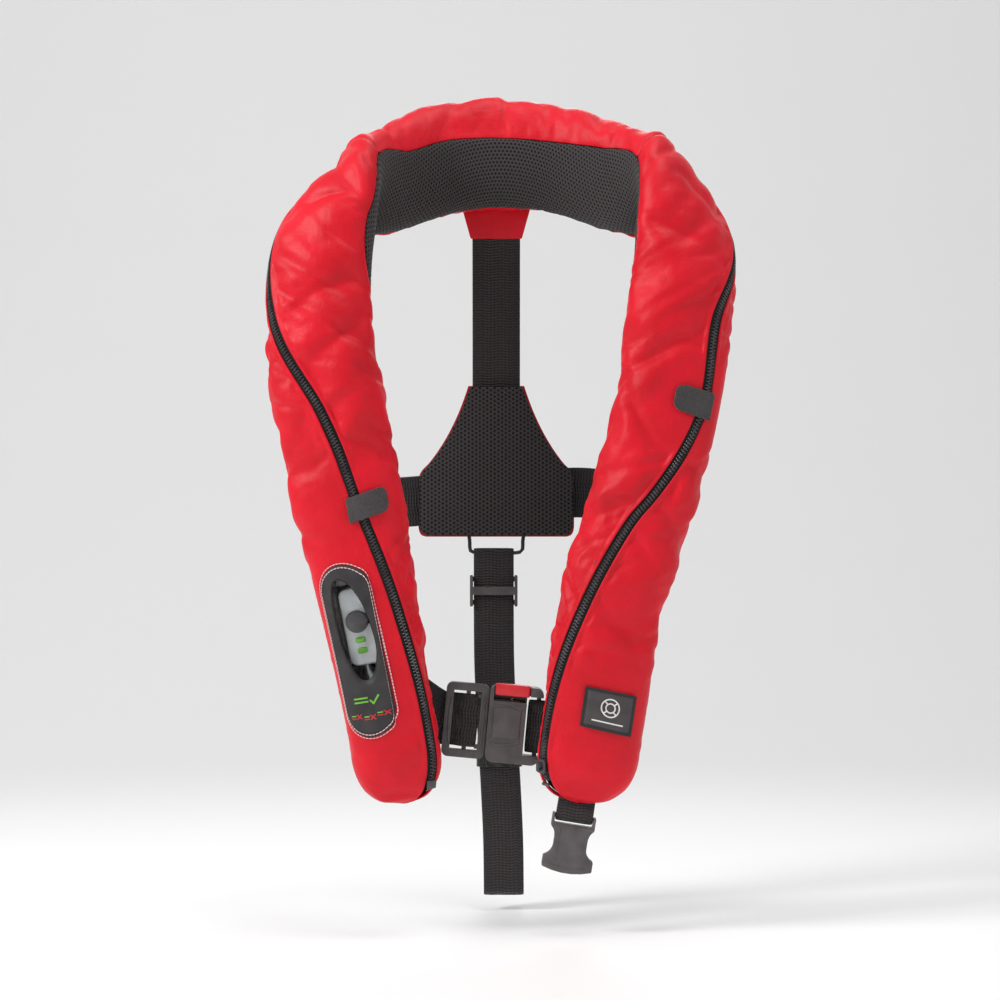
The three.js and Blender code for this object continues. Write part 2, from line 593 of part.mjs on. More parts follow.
// Webbing along a path of [x, y, z] points; `width` lies along the path's own side direction.
function webbing(path, width, sideAt, steps) {
  const curve = new THREE.CatmullRomCurve3(path.map((p) => new THREE.Vector3(...p)), false, "centripetal");
  return slab(steps, 1, (r, c, side) => {
    const centre = curve.getPoint(r);
    const tangent = curve.getTangent(r);
    const across = sideAt(centre, tangent).clone();
    across.addScaledVector(tangent, -across.dot(tangent)).normalize();
    const normal = new THREE.Vector3().crossVectors(tangent, across);
    return centre.addScaledVector(across, (c - 0.5) * width).addScaledVector(normal, (side - 0.5) * WEB);
  });
}
const UP = new THREE.Vector3(0, 0, 1);
const RIGHT = new THREE.Vector3(1, 0, 0);
add("back_strap", webbing([[HARNESS_X, 8, TAB_BOTTOM - GAP], [HARNESS_X, 13, -60], [HARNESS_X,
    BACK_Y - 0.5, -110],
  [HARNESS_X, BACK_Y, -148], [HARNESS_X, BACK_Y, -172]], BACK_STRAP_WIDTH, () => RIGHT, 6), "black_webbing");

// ---- main buckle --------------------------------------------------------------------------------
const BUCKLE_X = -5.5;
const BUCKLE_Y = -DEPTH + 37;
const BUCKLE_Z = -400;
const BUCKLE_TILT = rad(5.3);
const MALE_WIDTH = 33;
const HOUSING_WIDTH = 41;
const HOUSING_DEPTH = 19;
const SLOT_HEIGHT = BELT_WIDTH + 5;
const TONGUE_LENGTH = 24;
const TONGUE_HEIGHT = 37;
const TONGUE_THICK = 5;
const SPLIT_X = -4;                     // where the two halves of the buckle meet
const buckleMatrix = new THREE.Matrix4().makeRotationY(BUCKLE_TILT)
  .setPosition(BUCKLE_X, BUCKLE_Y, BUCKLE_Z);
const onBuckle = (geometry) => geometry.applyMatrix4(buckleMatrix);

const maleX = SPLIT_X - GAP - MALE_WIDTH / 2;
const maleFrame = cut(
  plate(MALE_WIDTH, BUCKLE_HEIGHT - 2, 9, 5, maleX, 0, 0),
  box(MALE_WIDTH - 12, 20, SLOT_HEIGHT, maleX, 0, 0),
  box(12, 8, SLOT_HEIGHT, maleX - MALE_WIDTH / 2 + 3, 4, 0),
);
const tongue = plate(TONGUE_LENGTH + 2, TONGUE_HEIGHT, TONGUE_THICK, 2.4,
    SPLIT_X + TONGUE_LENGTH / 2 - 1, 0, 0);
const keeperBar = box(3.4, 2.2, SLOT_HEIGHT + 4, maleX + 0.5, -0.8, 0);
add("buckle_male", onBuckle(join(maleFrame, tongue, keeperBar)), "grey_plastic");

const housingX = SPLIT_X + HOUSING_WIDTH / 2;
const END_BAR = 3.4;                    // square bar that the right-hand belt turns round
const END_BAR_X = SPLIT_X + HOUSING_WIDTH - 3.4;
const BELT_TURN = END_BAR / Math.SQRT2 + 0.5 + WEB / 2;
const END_SLOT = 12.4;
const BUTTON_WIDTH = 27;
const BUTTON_HEIGHT = 9;
const BUTTON_X = SPLIT_X + 17;
const PRESS = 3;                        // travel of the release button
const buttonBase = BUCKLE_HEIGHT / 2 - BUTTON_HEIGHT;
const housing = cut(
  plate(HOUSING_WIDTH, BUCKLE_HEIGHT, HOUSING_DEPTH, 6, housingX, 0, 0),
  box(TONGUE_LENGTH + 8, TONGUE_THICK + 1.2, TONGUE_HEIGHT + 1.2,
    SPLIT_X + (TONGUE_LENGTH + 8) / 2 - 5, 0, 0),
  box(END_SLOT + 4, HOUSING_DEPTH + 4, SLOT_HEIGHT, SPLIT_X + HOUSING_WIDTH - END_SLOT / 2 + 2, 0, 0),
  box(BUTTON_WIDTH + 1, 13, BUTTON_HEIGHT + PRESS + 9, BUTTON_X, -5.6,
    buttonBase - PRESS + (BUTTON_HEIGHT + PRESS + 9) / 2),
  box(8.4, 3.2, 14, BUTTON_X, -5.4, buttonBase - PRESS - 6.5),
);
const housingBar = box(END_BAR, END_BAR, SLOT_HEIGHT + 4, END_BAR_X, 0, 0);
add("buckle_housing", onBuckle(join(housing, housingBar)), "grey_plastic");
add("buckle_button", onBuckle(plate(BUTTON_WIDTH, BUTTON_HEIGHT, 9.4, 2, BUTTON_X, -4.6,
    buttonBase + BUTTON_HEIGHT / 2 + 1.2)),
  "red_plastic");

// The coil that pushes the button up, standing in its well.
class Helix extends THREE.Curve {
  constructor(radius, height, turns) {
    super();
    Object.assign(this, { radius, height, turns });
  }

  getPoint(t, target = new THREE.Vector3()) {
    const angle = t * this.turns * 2 * Math.PI;
    return target.set(this.radius * Math.cos(angle), this.radius * Math.sin(angle), t * this.height);
  }
}
const wire = new THREE.Shape().absarc(0, 0, 0.35, 0, 2 * Math.PI);
const SPRING_TOP = buttonBase + 1.2 - GAP;
const SPRING_BOTTOM = buttonBase - PRESS - 12.5;
const spring = new THREE.ExtrudeGeometry(wire, {
  steps: 44, curveSegments: 5, bevelEnabled: false,
  extrudePath: new Helix(1.0, SPRING_TOP - SPRING_BOTTOM - 1.2, 5),
}).translate(BUTTON_X, -5.4, SPRING_BOTTOM + 0.6);
add("button_spring", onBuckle(spring), "bright_steel");

// ---- waist belt: from the pad round both sides to the buckle ------------------------------------
const BELT_BACK_Z = PAD_BOTTOM + 30;
const BELT_Y = BUCKLE_Y + 1.2;
const BELT_SIDE_Y = 56 - DEPTH;     // the belt by the wearer's side
const BELT_LOBE_Y = 42 - DEPTH;     // the belt behind a lobe
const BELT_MIDDLE_Y = (BACK_Y + BELT_Y) / 2;
// The belt stands on edge round the wearer's waist, an oval as deep as BACK_Y to BELT_Y.
function beltSide(centre, tangent) {
  const away = new THREE.Vector3(centre.x / SPREAD ** 2, (centre.y - BELT_MIDDLE_Y) / (DEPTH * 0.42) ** 2, 0);
  const side = new THREE.Vector3().crossVectors(away, tangent).normalize();
  return side.z < 0 ? side.negate() : side;
}
// At the buckle it stands square to the buckle, which lies a little aslant.
const BUCKLE_UP = new THREE.Vector3(Math.sin(BUCKLE_TILT), 0, Math.cos(BUCKLE_TILT));
const SQUARING = 26;               // length over which the belt turns square
const FRONT_BELOW = 120;           // the belt is at the front this far under its back
const squareFrom = (near) => (centre, tangent) => {
  const atFront = centre.z < BELT_BACK_Z - FRONT_BELOW;
  const round = atFront ? THREE.MathUtils.smoothstep(Math.abs(centre.x), near, near + SQUARING) : 1;
  return beltSide(centre, tangent).lerp(BUCKLE_UP, 1 - round);
};
const onBelt = (x0, places) => places.map(([x, y]) => {
  const point = new THREE.Vector3(x0 + x, y, 0).applyMatrix4(buckleMatrix);
  return [point.x, point.y, point.z];
});
const leftPath = [
  [HARNESS_X - GAP, BACK_Y, BELT_BACK_Z], [-40, BACK_Y, BELT_BACK_Z - 1],
  [-68, BACK_Y, BELT_BACK_Z - 3], [-86, BACK_Y - 2, BELT_BACK_Z - 5],
  [-112, BACK_Y - 15, BELT_BACK_Z - 15], [-130, -24, BELT_BACK_Z - 38], [-122, BELT_SIDE_Y, BELT_BACK_Z - 76],
  [-98, BELT_LOBE_Y, BELT_BACK_Z - 118], [-72, BELT_Y, BELT_BACK_Z - 150],
  ...onBelt(maleX, [[-19, 1.6], [-10, 1.4], [-6, -0.6], [-3, -3.1], [0.5, -3.8], [4, -3], [6, 0], [3, 3.4],
    [-6, 4.6], [-22, 5]]),
];
add("belt_left", webbing(leftPath, BELT_WIDTH, squareFrom(52), 64), "black_webbing");
const rightPath = [
  [HARNESS_X + GAP, BACK_Y, BELT_BACK_Z], [34, BACK_Y, BELT_BACK_Z + 2], [62, BACK_Y, BELT_BACK_Z + 4],
  [80, BACK_Y - 2, BELT_BACK_Z + 2], [100, BACK_Y - 15, BELT_BACK_Z - 8], [113, -24, BELT_BACK_Z - 34],
  [107, BELT_SIDE_Y, BELT_BACK_Z - 74], [90, BELT_LOBE_Y, BELT_BACK_Z - 120], [70, BELT_Y, BELT_BACK_Z - 154],
  ...onBelt(END_BAR_X, [[17, 4.2], [6, 4], [0, BELT_TURN], [-BELT_TURN * 0.8, BELT_TURN * 0.6],
    [-BELT_TURN, 0],
    [-BELT_TURN * 0.8, -BELT_TURN * 0.6], [0, -BELT_TURN], [8, -4], [24, -2]]),
];
add("belt_right", webbing(rightPath, BELT_WIDTH, squareFrom(50), 64), "black_webbing");

// ---- ring in the pad's hem ----------------------------------------------------------------------
const ringCorners = [[-RING_TOP, ringTopZ], [RING_TOP, ringTopZ], [RING_BOTTOM, ringLowZ],
    [-RING_BOTTOM, ringLowZ]];
const ringPoints = [];
ringCorners.forEach(([x, z], i) => {
  const [nextX, nextZ] = ringCorners[(i + 1) % 4];
  for (const t of [0.07, 0.5, 0.93]) {
    ringPoints.push(new THREE.Vector3(HARNESS_X + (x + (nextX - x) * t) / 2, BACK_Y, z + (nextZ - z) * t));
  }
});
const ringCurve = new THREE.CatmullRomCurve3(ringPoints, true, "centripetal");
const RING_STEPS = 36;
const RING_SIDES = 8;
const ringWire = [];
for (let i = 0; i < RING_STEPS; i += 1) {
  const centre = ringCurve.getPointAt(i / RING_STEPS);
  const tangent = ringCurve.getTangentAt(i / RING_STEPS);
  const sideways = new THREE.Vector3(-tangent.z, 0, tangent.x);
  for (let a = 0; a < RING_SIDES; a += 1) {
    const angle = (a / RING_SIDES) * 2 * Math.PI;
    const point = centre.clone().addScaledVector(sideways, RING_RADIUS * Math.cos(angle));
    point.y += RING_RADIUS * Math.sin(angle);
    ringWire.push(point);
  }
}
const ringFaces = [];
for (let r = 0; r < RING_STEPS; r += 1) {
  for (let c = 0; c < RING_SIDES; c += 1) {
    const turned = (c + 1) % RING_SIDES;
    const next = (r + 1) % RING_STEPS;
    const [a, b] = [r * RING_SIDES + c, r * RING_SIDES + turned];
    const [d, e] = [next * RING_SIDES + c, next * RING_SIDES + turned];
    ringFaces.push([a, b, e], [a, e, d]);
  }
}
add("strap_ring", solid(ringWire, ringFaces), "wire_steel");

// ---- crotch strap: round the ring, down, folded at its foot and up to its plug ------------------
const LOOP_RADIUS = RING_RADIUS + 0.5 + WEB / 2;
const STRAP_BOTTOM = ringLowZ - 274;
const FOLD_RADIUS = 8;
const PLUG_Z = BUCKLE_Z - 30;          // where the strap meets its plug, behind the main buckle
const SEWN_Z = ringLowZ - 16;          // end of the short run behind, sewn to the strap
const frontY = BACK_Y - LOOP_RADIUS;
const strapX = (z) => HARNESS_X - 2 + 8 * THREE.MathUtils.smoothstep(ringLowZ - z, 60, 260);
const strapPath = [[strapX(SEWN_Z), frontY + WEB + GAP, SEWN_Z]];
for (const degrees of [-20, 20, 60, 90, 120, 160, 200]) {
  strapPath.push([strapX(ringLowZ), BACK_Y + LOOP_RADIUS * Math.cos(rad(degrees)),
    ringLowZ + LOOP_RADIUS * Math.sin(rad(degrees))]);
}
for (const fall of [14, 40, 90, 140, 190, 230]) {
  strapPath.push([strapX(ringLowZ - fall), frontY, ringLowZ - fall]);
}
for (const degrees of [180, 225, 270, 315, 360]) {
  const z = STRAP_BOTTOM + FOLD_RADIUS + FOLD_RADIUS * Math.sin(rad(degrees));
  strapPath.push([strapX(z), frontY + FOLD_RADIUS + FOLD_RADIUS * Math.cos(rad(degrees)), z]);
}
const returnY = frontY + 2 * FOLD_RADIUS;
for (const rise of [50, 90]) strapPath.push([strapX(STRAP_BOTTOM + rise), returnY, STRAP_BOTTOM + rise]);
strapPath.push([strapX(PLUG_Z), returnY, PLUG_Z]);
add("crotch_strap", webbing(strapPath, STRAP_WIDTH, () => RIGHT, 72), "black_webbing");

// Ladder slider: the strap runs straight through, over its end bars and behind its middle bar.
const SLIDER_Z = ringLowZ - 30.5;
const LADDER_WIDTH = 38;
const LADDER_HEIGHT = 25;
const rail = (LADDER_WIDTH - STRAP_WIDTH - 1.2) / 2;
const ladder = join(
  plate(rail, LADDER_HEIGHT, 7.4, 0.8, -LADDER_WIDTH / 2 + rail / 2, 0, 0),
  plate(rail, LADDER_HEIGHT, 7.4, 0.8, LADDER_WIDTH / 2 - rail / 2, 0, 0),
  box(LADDER_WIDTH - 1, 2.2, 6.4, 0, -2.6, 0),
  box(LADDER_WIDTH - 1, 2.2, 4, 0, 2.6, LADDER_HEIGHT / 2 - 3.2),
  box(LADDER_WIDTH - 1, 2.2, 4, 0, 2.6, -LADDER_HEIGHT / 2 + 3.2),
);
add("strap_slider", ladder.translate(strapX(SLIDER_Z), frontY, SLIDER_Z), "grey_plastic");

// The plug: a bar for the strap, a middle guide and two springy arms, pointing up.
const PLUG_WIDTH = 34;
const MOUTH_WIDTH = 22;
const MOUTH_DEPTH = 6.4;
const ARM = 4.2;
const PLUG_CLEAR = 1;                  // room for the plug to tilt on the strap's end
const plugParts = [
  plate(PLUG_WIDTH, 9, 7, 2, 0, 0, 5),
  plate(6, 32, 3.6, 1.4, 0, 0, 22),
];
for (const side of [-1, 1]) {
  plugParts.push(plate(ARM, 30, 4.6, 1.4, side * (MOUTH_WIDTH / 2 - ARM / 2 - 0.4), 0, 22));
  plugParts.push(plate(ARM, 9, 4.6, 1.6, side * (MOUTH_WIDTH / 2 - 0.6), 0, 30));
}
add("crotch_plug", join(...plugParts).translate(strapX(PLUG_Z), returnY, PLUG_Z + PLUG_CLEAR),
    "grey_plastic");

const KEEPER_WALL = 1.4;
const keeperZ = PLUG_Z - 9;
const keeperDepth = 2 * FOLD_RADIUS + WEB + 2 * GAP;
add("strap_keeper", cut(
  box(STRAP_WIDTH + 2 * (GAP + KEEPER_WALL), keeperDepth + 2 * KEEPER_WALL, 8, 0, 0, 0),
  box(STRAP_WIDTH + 2 * GAP + 0.6, keeperDepth, 20, 0, 0, 0),
).translate(strapX(keeperZ), frontY + FOLD_RADIUS, keeperZ), "black_lining");

// ---- crotch socket, hanging from the right lobe's tip -------------------------------------------
const SOCKET_TILT = rad(9);
const SOCKET_WIDTH = 33;
const SOCKET_WINGS = 38;
const SOCKET_LENGTH = 46;
const SOCKET_DEPTH = 11;
const SOCKET_BAR = 3.2;
const tip = spine(LAST);
const socketTopZ = tip.z - 9.5;
const socketMatrix = new THREE.Matrix4().makeRotationY(SOCKET_TILT).setPosition(tip.x - 5, tip.y, socketTopZ);
const outline = new THREE.Shape();
outline.moveTo(-SOCKET_WIDTH / 2, 0);
outline.lineTo(-SOCKET_WIDTH / 2, -10);
outline.quadraticCurveTo(-12.6, -13, -12.6, -19);
outline.lineTo(-12.6, -25);
outline.quadraticCurveTo(-13.5, -31, -SOCKET_WINGS / 2, -33);
outline.lineTo(-SOCKET_WINGS / 2, -SOCKET_LENGTH + 5);
outline.quadraticCurveTo(0, -SOCKET_LENGTH - 1.5, SOCKET_WINGS / 2, -SOCKET_LENGTH + 5);
outline.lineTo(SOCKET_WINGS / 2, -33);
outline.quadraticCurveTo(13.5, -31, 12.6, -25);
outline.lineTo(12.6, -19);
outline.quadraticCurveTo(12.6, -13, SOCKET_WIDTH / 2, -10);
outline.lineTo(SOCKET_WIDTH / 2, 0);
const LUG_DROP = 7.4;
const LOOP_WIDTH = 28;
const socket = join(
  cut(upright(outline, SOCKET_DEPTH, 5),
    box(LOOP_WIDTH + 1, 30, LUG_DROP * 2, 0, 0, 0),
    box(MOUTH_WIDTH, MOUTH_DEPTH, 60, 0, 0, -SOCKET_LENGTH + 32 - 30),
  ),
  box(LOOP_WIDTH + 2, SOCKET_BAR, SOCKET_BAR, 0, 0, -SOCKET_BAR / 2),
);
add("crotch_socket", socket.applyMatrix4(socketMatrix), "grey_plastic");
const hangRadius = SOCKET_BAR / Math.SQRT2 + 0.4 + WEB / 2;
const hangRise = 8.2;
const hangPath = [[0, -1.6, hangRise], [0, -hangRadius, hangRise / 2.4]];
for (const degrees of [180, 225, 270, 315, 360]) {
  hangPath.push([0, hangRadius * Math.cos(rad(degrees)),
    hangRadius * Math.sin(rad(degrees)) - SOCKET_BAR / 2]);
}
hangPath.push([0, hangRadius, hangRise / 2.4], [0, 1.6, hangRise]);
add("crotch_socket_loop", webbing(hangPath, LOOP_WIDTH, () => RIGHT,
    18).applyMatrix4(socketMatrix), "black_webbing");

export default group;
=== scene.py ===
# %% [markdown]
# # Inflatable life jacket
# This lesson dresses a imported CAD model of a life jacket in cloth, webbing and moulded plastic.
# The frame from the CAD step fixes every size and place. We load it first and keep its box.

# %% Load the frame
import bisect
import functools
import math
import bmesh
import bpy
from mathutils import Matrix, Vector, noise


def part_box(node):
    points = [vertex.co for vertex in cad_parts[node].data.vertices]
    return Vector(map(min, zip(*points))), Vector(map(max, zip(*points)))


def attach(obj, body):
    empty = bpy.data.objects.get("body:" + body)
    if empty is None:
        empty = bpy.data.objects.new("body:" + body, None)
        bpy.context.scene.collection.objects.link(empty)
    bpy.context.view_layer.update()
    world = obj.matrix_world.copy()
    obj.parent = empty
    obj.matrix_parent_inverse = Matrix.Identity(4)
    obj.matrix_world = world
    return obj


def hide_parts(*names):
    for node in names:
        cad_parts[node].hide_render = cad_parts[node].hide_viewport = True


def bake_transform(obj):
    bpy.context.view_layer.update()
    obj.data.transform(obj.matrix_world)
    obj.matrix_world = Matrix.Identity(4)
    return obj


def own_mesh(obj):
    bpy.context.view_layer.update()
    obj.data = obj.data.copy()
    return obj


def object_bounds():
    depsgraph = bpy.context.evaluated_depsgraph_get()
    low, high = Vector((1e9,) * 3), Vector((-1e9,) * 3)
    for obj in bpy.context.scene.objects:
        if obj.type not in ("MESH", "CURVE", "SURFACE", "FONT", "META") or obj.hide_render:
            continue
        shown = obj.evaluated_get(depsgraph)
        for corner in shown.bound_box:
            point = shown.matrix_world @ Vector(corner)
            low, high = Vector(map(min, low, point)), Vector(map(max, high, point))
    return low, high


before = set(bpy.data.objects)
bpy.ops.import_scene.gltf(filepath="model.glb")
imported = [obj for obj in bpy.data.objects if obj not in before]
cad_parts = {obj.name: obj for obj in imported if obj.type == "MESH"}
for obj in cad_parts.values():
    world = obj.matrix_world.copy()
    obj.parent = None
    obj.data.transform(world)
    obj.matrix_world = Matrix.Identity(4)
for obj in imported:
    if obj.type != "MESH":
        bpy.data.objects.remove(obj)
CAD_BOX = [list(corner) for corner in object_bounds()]
MM = 0.001
scene = bpy.context.scene
print("CAD box", CAD_BOX)

# %% [markdown]
# ## Studio
# A hanging jacket is looked at straight on, from about two metres, so that its far side is hardly
# smaller than its near side. The camera stands level with the middle of the jacket. A long lens
# keeps the proportions true. One curved sheet serves as floor and backdrop: it has no corner, so
# nothing but soft light shows behind the straps.

# %% Camera
EYE_DISTANCE = 2.01
EYE_HEIGHT = -0.23
LENS = 91.2
camera_data = bpy.data.cameras.new("camera")
camera_data.lens = LENS
camera_data.sensor_width = 36.0
camera = bpy.data.objects.new("camera", camera_data)
camera.location = (0.0, -EYE_DISTANCE, EYE_HEIGHT)
camera.rotation_euler = (math.pi / 2, 0.0, 0.0)
scene.collection.objects.link(camera)
scene.camera = camera
print("camera at", tuple(camera.location))

# %% [markdown]
# ## Floor, wall and lights
# The jacket is looked at over a plain pale floor that bends up into a wall, so no edge shows behind
# it. One smaller key light from the left brings out the folds; a wide fill and a top light soften
# the other side. They could be lamps with hard edges, but cloth reads better under soft ones.

# %% Backdrop, lights and sky
FLOOR_DROP = 0.012


def principled(name):
    """A new material and its Principled shader."""
    made = bpy.data.materials.new(name)
    made.use_nodes = True
    return made, made.node_tree.nodes["Principled BSDF"]


def object_from(bm, name, *materials):
    """A linked object from a bmesh, with its faces smooth."""
    mesh = bpy.data.meshes.new(name)
    for face in bm.faces:
        face.smooth = True
    bm.to_mesh(mesh)
    bm.free()
    made = bpy.data.objects.new(name, mesh)
    scene.collection.objects.link(made)
    for one in materials:
        mesh.materials.append(one)
    return made


def grid(rows, cols, place, uv=None, joined=False):
    """A bmesh grid whose vertex of row r and column c goes to place(r, c).

    create_grid makes the faces, so only the places are worked out here. uv(r, c) gives metres
    along and across for a pattern that follows the cloth. joined closes the sheet into a tube.
    """
    bm = bmesh.new()
    bmesh.ops.create_grid(bm, x_segments=cols, y_segments=rows, size=1.0)
    layer = bm.loops.layers.uv.new("cloth") if uv else None
    index = {}
    for vertex in bm.verts:
        c = round((vertex.co.x + 1) / 2 * cols)
        r = round((vertex.co.y + 1) / 2 * rows)
        index[vertex] = (r, c)
    if layer:
        for face in bm.faces:
            for loop in face.loops:
                loop[layer].uv = uv(*index[loop.vert])
    for vertex, (r, c) in index.items():
        vertex.co = place(r, c)
    if joined:
        bmesh.ops.remove_doubles(bm, verts=bm.verts, dist=1e-6)
    return bm


backdrop_material, backdrop_shader = principled("studio_paper")
backdrop_shader.inputs["Base Color"].default_value = (0.93, 0.93, 0.93, 1.0)
backdrop_shader.inputs["Roughness"].default_value = 0.9
FLOOR = CAD_BOX[0][2] - FLOOR_DROP


def sweep(r, c):
    """The backdrop: floor in front, a quarter-round bend, then the wall."""
    across = (c / 8 - 0.5) * 9.0
    run = r / 40 * 9.0
    wall, bend = 2.2, 1.2
    if run < 4.4:
        return Vector((across, run - 4.4 + wall - bend, FLOOR))
    turn = min(math.pi / 2, (run - 4.4) / bend)
    up = max(0.0, run - 4.4 - bend * math.pi / 2)
    return Vector((across, wall - bend + bend * math.sin(turn), FLOOR + bend - bend * math.cos(turn) + up))


backdrop = object_from(grid(40, 8, sweep), "backdrop", backdrop_material)

LIGHTS = [
    ("key", "AREA", (-1.5, -0.9, 0.9), 0.6, 26.0),
    ("fill", "AREA", (1.7, -1.5, 0.2), 1.6, 4.0),
    ("top", "AREA", (0.3, -0.3, 1.6), 0.8, 12.0),
    ("back", "SPOT", (0.2, 1.9, 0.9), 0.5, 40.0),
]
for light_name, kind, place, size, watts in LIGHTS:
    lamp = bpy.data.lights.new(light_name, kind)
    if kind == "AREA":
        lamp.size = size
    else:
        lamp.shadow_soft_size = size
    lamp.energy = watts
    holder = bpy.data.objects.new(light_name, lamp)
    holder.location = place
    holder.visible_camera = False
    towards = Vector((0.0, -0.05, EYE_HEIGHT)) - Vector(place)
    holder.rotation_euler = towards.to_track_quat("-Z", "Y").to_euler()
    scene.collection.objects.link(holder)
world = bpy.data.worlds.new("studio")
world.use_nodes = True
world.node_tree.nodes["Background"].inputs["Color"].default_value = (1.0, 1.0, 1.0, 1.0)
world.node_tree.nodes["Background"].inputs["Strength"].default_value = 0.46
scene.world = world
scene.view_settings.view_transform = "Standard"
print("lights", [one[0] for one in LIGHTS])

# %% [markdown]
# ## Finishes
# Cloth needs three things: a colour that drifts a little, as dyed nylon does, a weave that
# catches the light, and a soft roughness. The weave is a bump from two crossed waves that read
# the piece's own UV map in metres, so it keeps its real pitch on every panel. Numbers that are the
# same all over a surface are set on the shader's own sockets.


# %% A small node language
class Finish:
    """Builds a node material step by step."""

    def __init__(self, name, roughness=0.6, specular=0.5, **sockets):
        self.material, self.shader = principled(name)
        self.tree = self.material.node_tree
        self.shader.inputs["Roughness"].default_value = roughness
        self.shader.inputs["Specular IOR Level"].default_value = specular
        for socket, value in sockets.items():
            self.shader.inputs[socket.replace("_", " ")].default_value = value

    def node(self, kind, **values):
        made = self.tree.nodes.new("ShaderNode" + kind)
        for name, value in values.items():
            setattr(made, name, value)
        return made

    def link(self, output, target):
        self.tree.links.new(output, target)

    def place(self, follow):
        """Coordinates in metres: 'UV' along the cloth, or 'Object'."""
        if follow == "UV":
            return self.node("UVMap", uv_map="cloth").outputs["UV"]
        return self.node("TexCoord").outputs["Object"]

    def math(self, operation, first, second=None, third=None):
        made = self.node("Math", operation=operation)
        for slot, value in enumerate([first, second, third]):
            if value is None:
                continue
            if isinstance(value, (int, float)):
                made.inputs[slot].default_value = value
            else:
                self.link(value, made.inputs[slot])
        return made.outputs[0]

    def speckle(self, follow, pitch, detail=3.0):
        """Noise with a grain of `pitch` metres, from 0 to 1."""
        made = self.node("TexNoise")
        made.inputs["Scale"].default_value = 1.0 / pitch
        made.inputs["Detail"].default_value = detail
        self.link(self.place(follow), made.inputs["Vector"])
        return made.outputs["Fac"]

    def ramp(self, value, stops):
        made = self.node("ValToRGB")
        elements = made.color_ramp.elements
        while len(elements) < len(stops):
            elements.new(0.5)
        for element, (at, colour) in zip(elements, stops):
            element.position = at
            element.color = (*colour, 1.0)
        self.link(value, made.inputs["Fac"])
        return made.outputs["Color"]

    def axis(self, vector, which):
        made = self.node("SeparateXYZ")
        self.link(vector, made.inputs[0])
        return made.outputs[which]

    def ripple(self, value, pitch):
        """A wave from 0 to 1 with one crest every `pitch` metres."""
        turned = self.math("MULTIPLY", value, 2 * math.pi / pitch)
        return self.math("MULTIPLY_ADD", self.math("SINE", turned), 0.5, 0.5)

    def colour(self, output):
        self.link(output, self.shader.inputs["Base Color"])
        return self

    def rough(self, value, low, high):
        made = self.node("MapRange")
        made.inputs["To Min"].default_value = low
        made.inputs["To Max"].default_value = high
        self.link(value, made.inputs["Value"])
        self.link(made.outputs[0], self.shader.inputs["Roughness"])
        return self

    def bump(self, *layers):
        """Layers of (height 0 to 1, metres) summed into one bump."""
        total = None
        for value, height in layers:
            scaled = self.math("MULTIPLY", value, height)
            total = scaled if total is None else self.math("ADD", total, scaled)
        made = self.node("Bump")
        made.inputs["Strength"].default_value = 1.0
        made.inputs["Distance"].default_value = 1.0
        self.link(total, made.inputs["Height"])
        self.link(made.outputs["Normal"], self.shader.inputs["Normal"])
        return self


def linear(*srgb):
    """Display colours from 0 to 255 as the renderer's linear ones."""
    return tuple(
        part / 255 / 12.92 if part <= 10 else ((part / 255 + 0.055) / 1.055) ** 2.4 for part in srgb
    )


# %% [markdown]
# ## Cloth
# Nylon, spacer mesh, webbing and pile differ in scale more than in colour. Each is built here from
# the same few nodes: a speckle for the fibres, a ripple or a grid of holes for the weave, and a
# drift of colour. Image textures would do too, but these keep their pitch in metres everywhere.

# %% Cloth finishes
def weave(finish, pitch):
    """Plain weave: the product of two crossed ripples."""
    uv = finish.place("UV")
    warp = finish.ripple(finish.axis(uv, "X"), pitch)
    weft = finish.ripple(finish.axis(uv, "Y"), pitch)
    return finish.math("MULTIPLY", warp, weft)


def nylon(name, dark, light, follow="UV"):
    """Coated nylon: fine weave, faint colour drift, a soft sheen on its folds."""
    finish = Finish(name, roughness=0.5, specular=0.3)
    finish.shader.inputs["Sheen Weight"].default_value = 0.05
    finish.shader.inputs["Sheen Roughness"].default_value = 0.4
    finish.shader.inputs["Sheen Tint"].default_value = (1.0, 0.62, 0.64, 1.0)
    drift = finish.speckle(follow, 0.035, 4.0)
    grain = finish.speckle(follow, 0.0011, 2.0)
    finish.colour(finish.ramp(finish.math("ADD", finish.math("MULTIPLY", drift, 0.7),
                                          finish.math("MULTIPLY", grain, 0.3)),
                              [(0.3, dark), (0.7, light)]))
    finish.rough(grain, 0.38, 0.55)
    crinkle = finish.speckle(follow, 0.006, 3.0)
    finish.bump((weave(finish, 0.0009), 0.00006), (grain, 0.00007), (crinkle, 0.0005))
    return finish.material


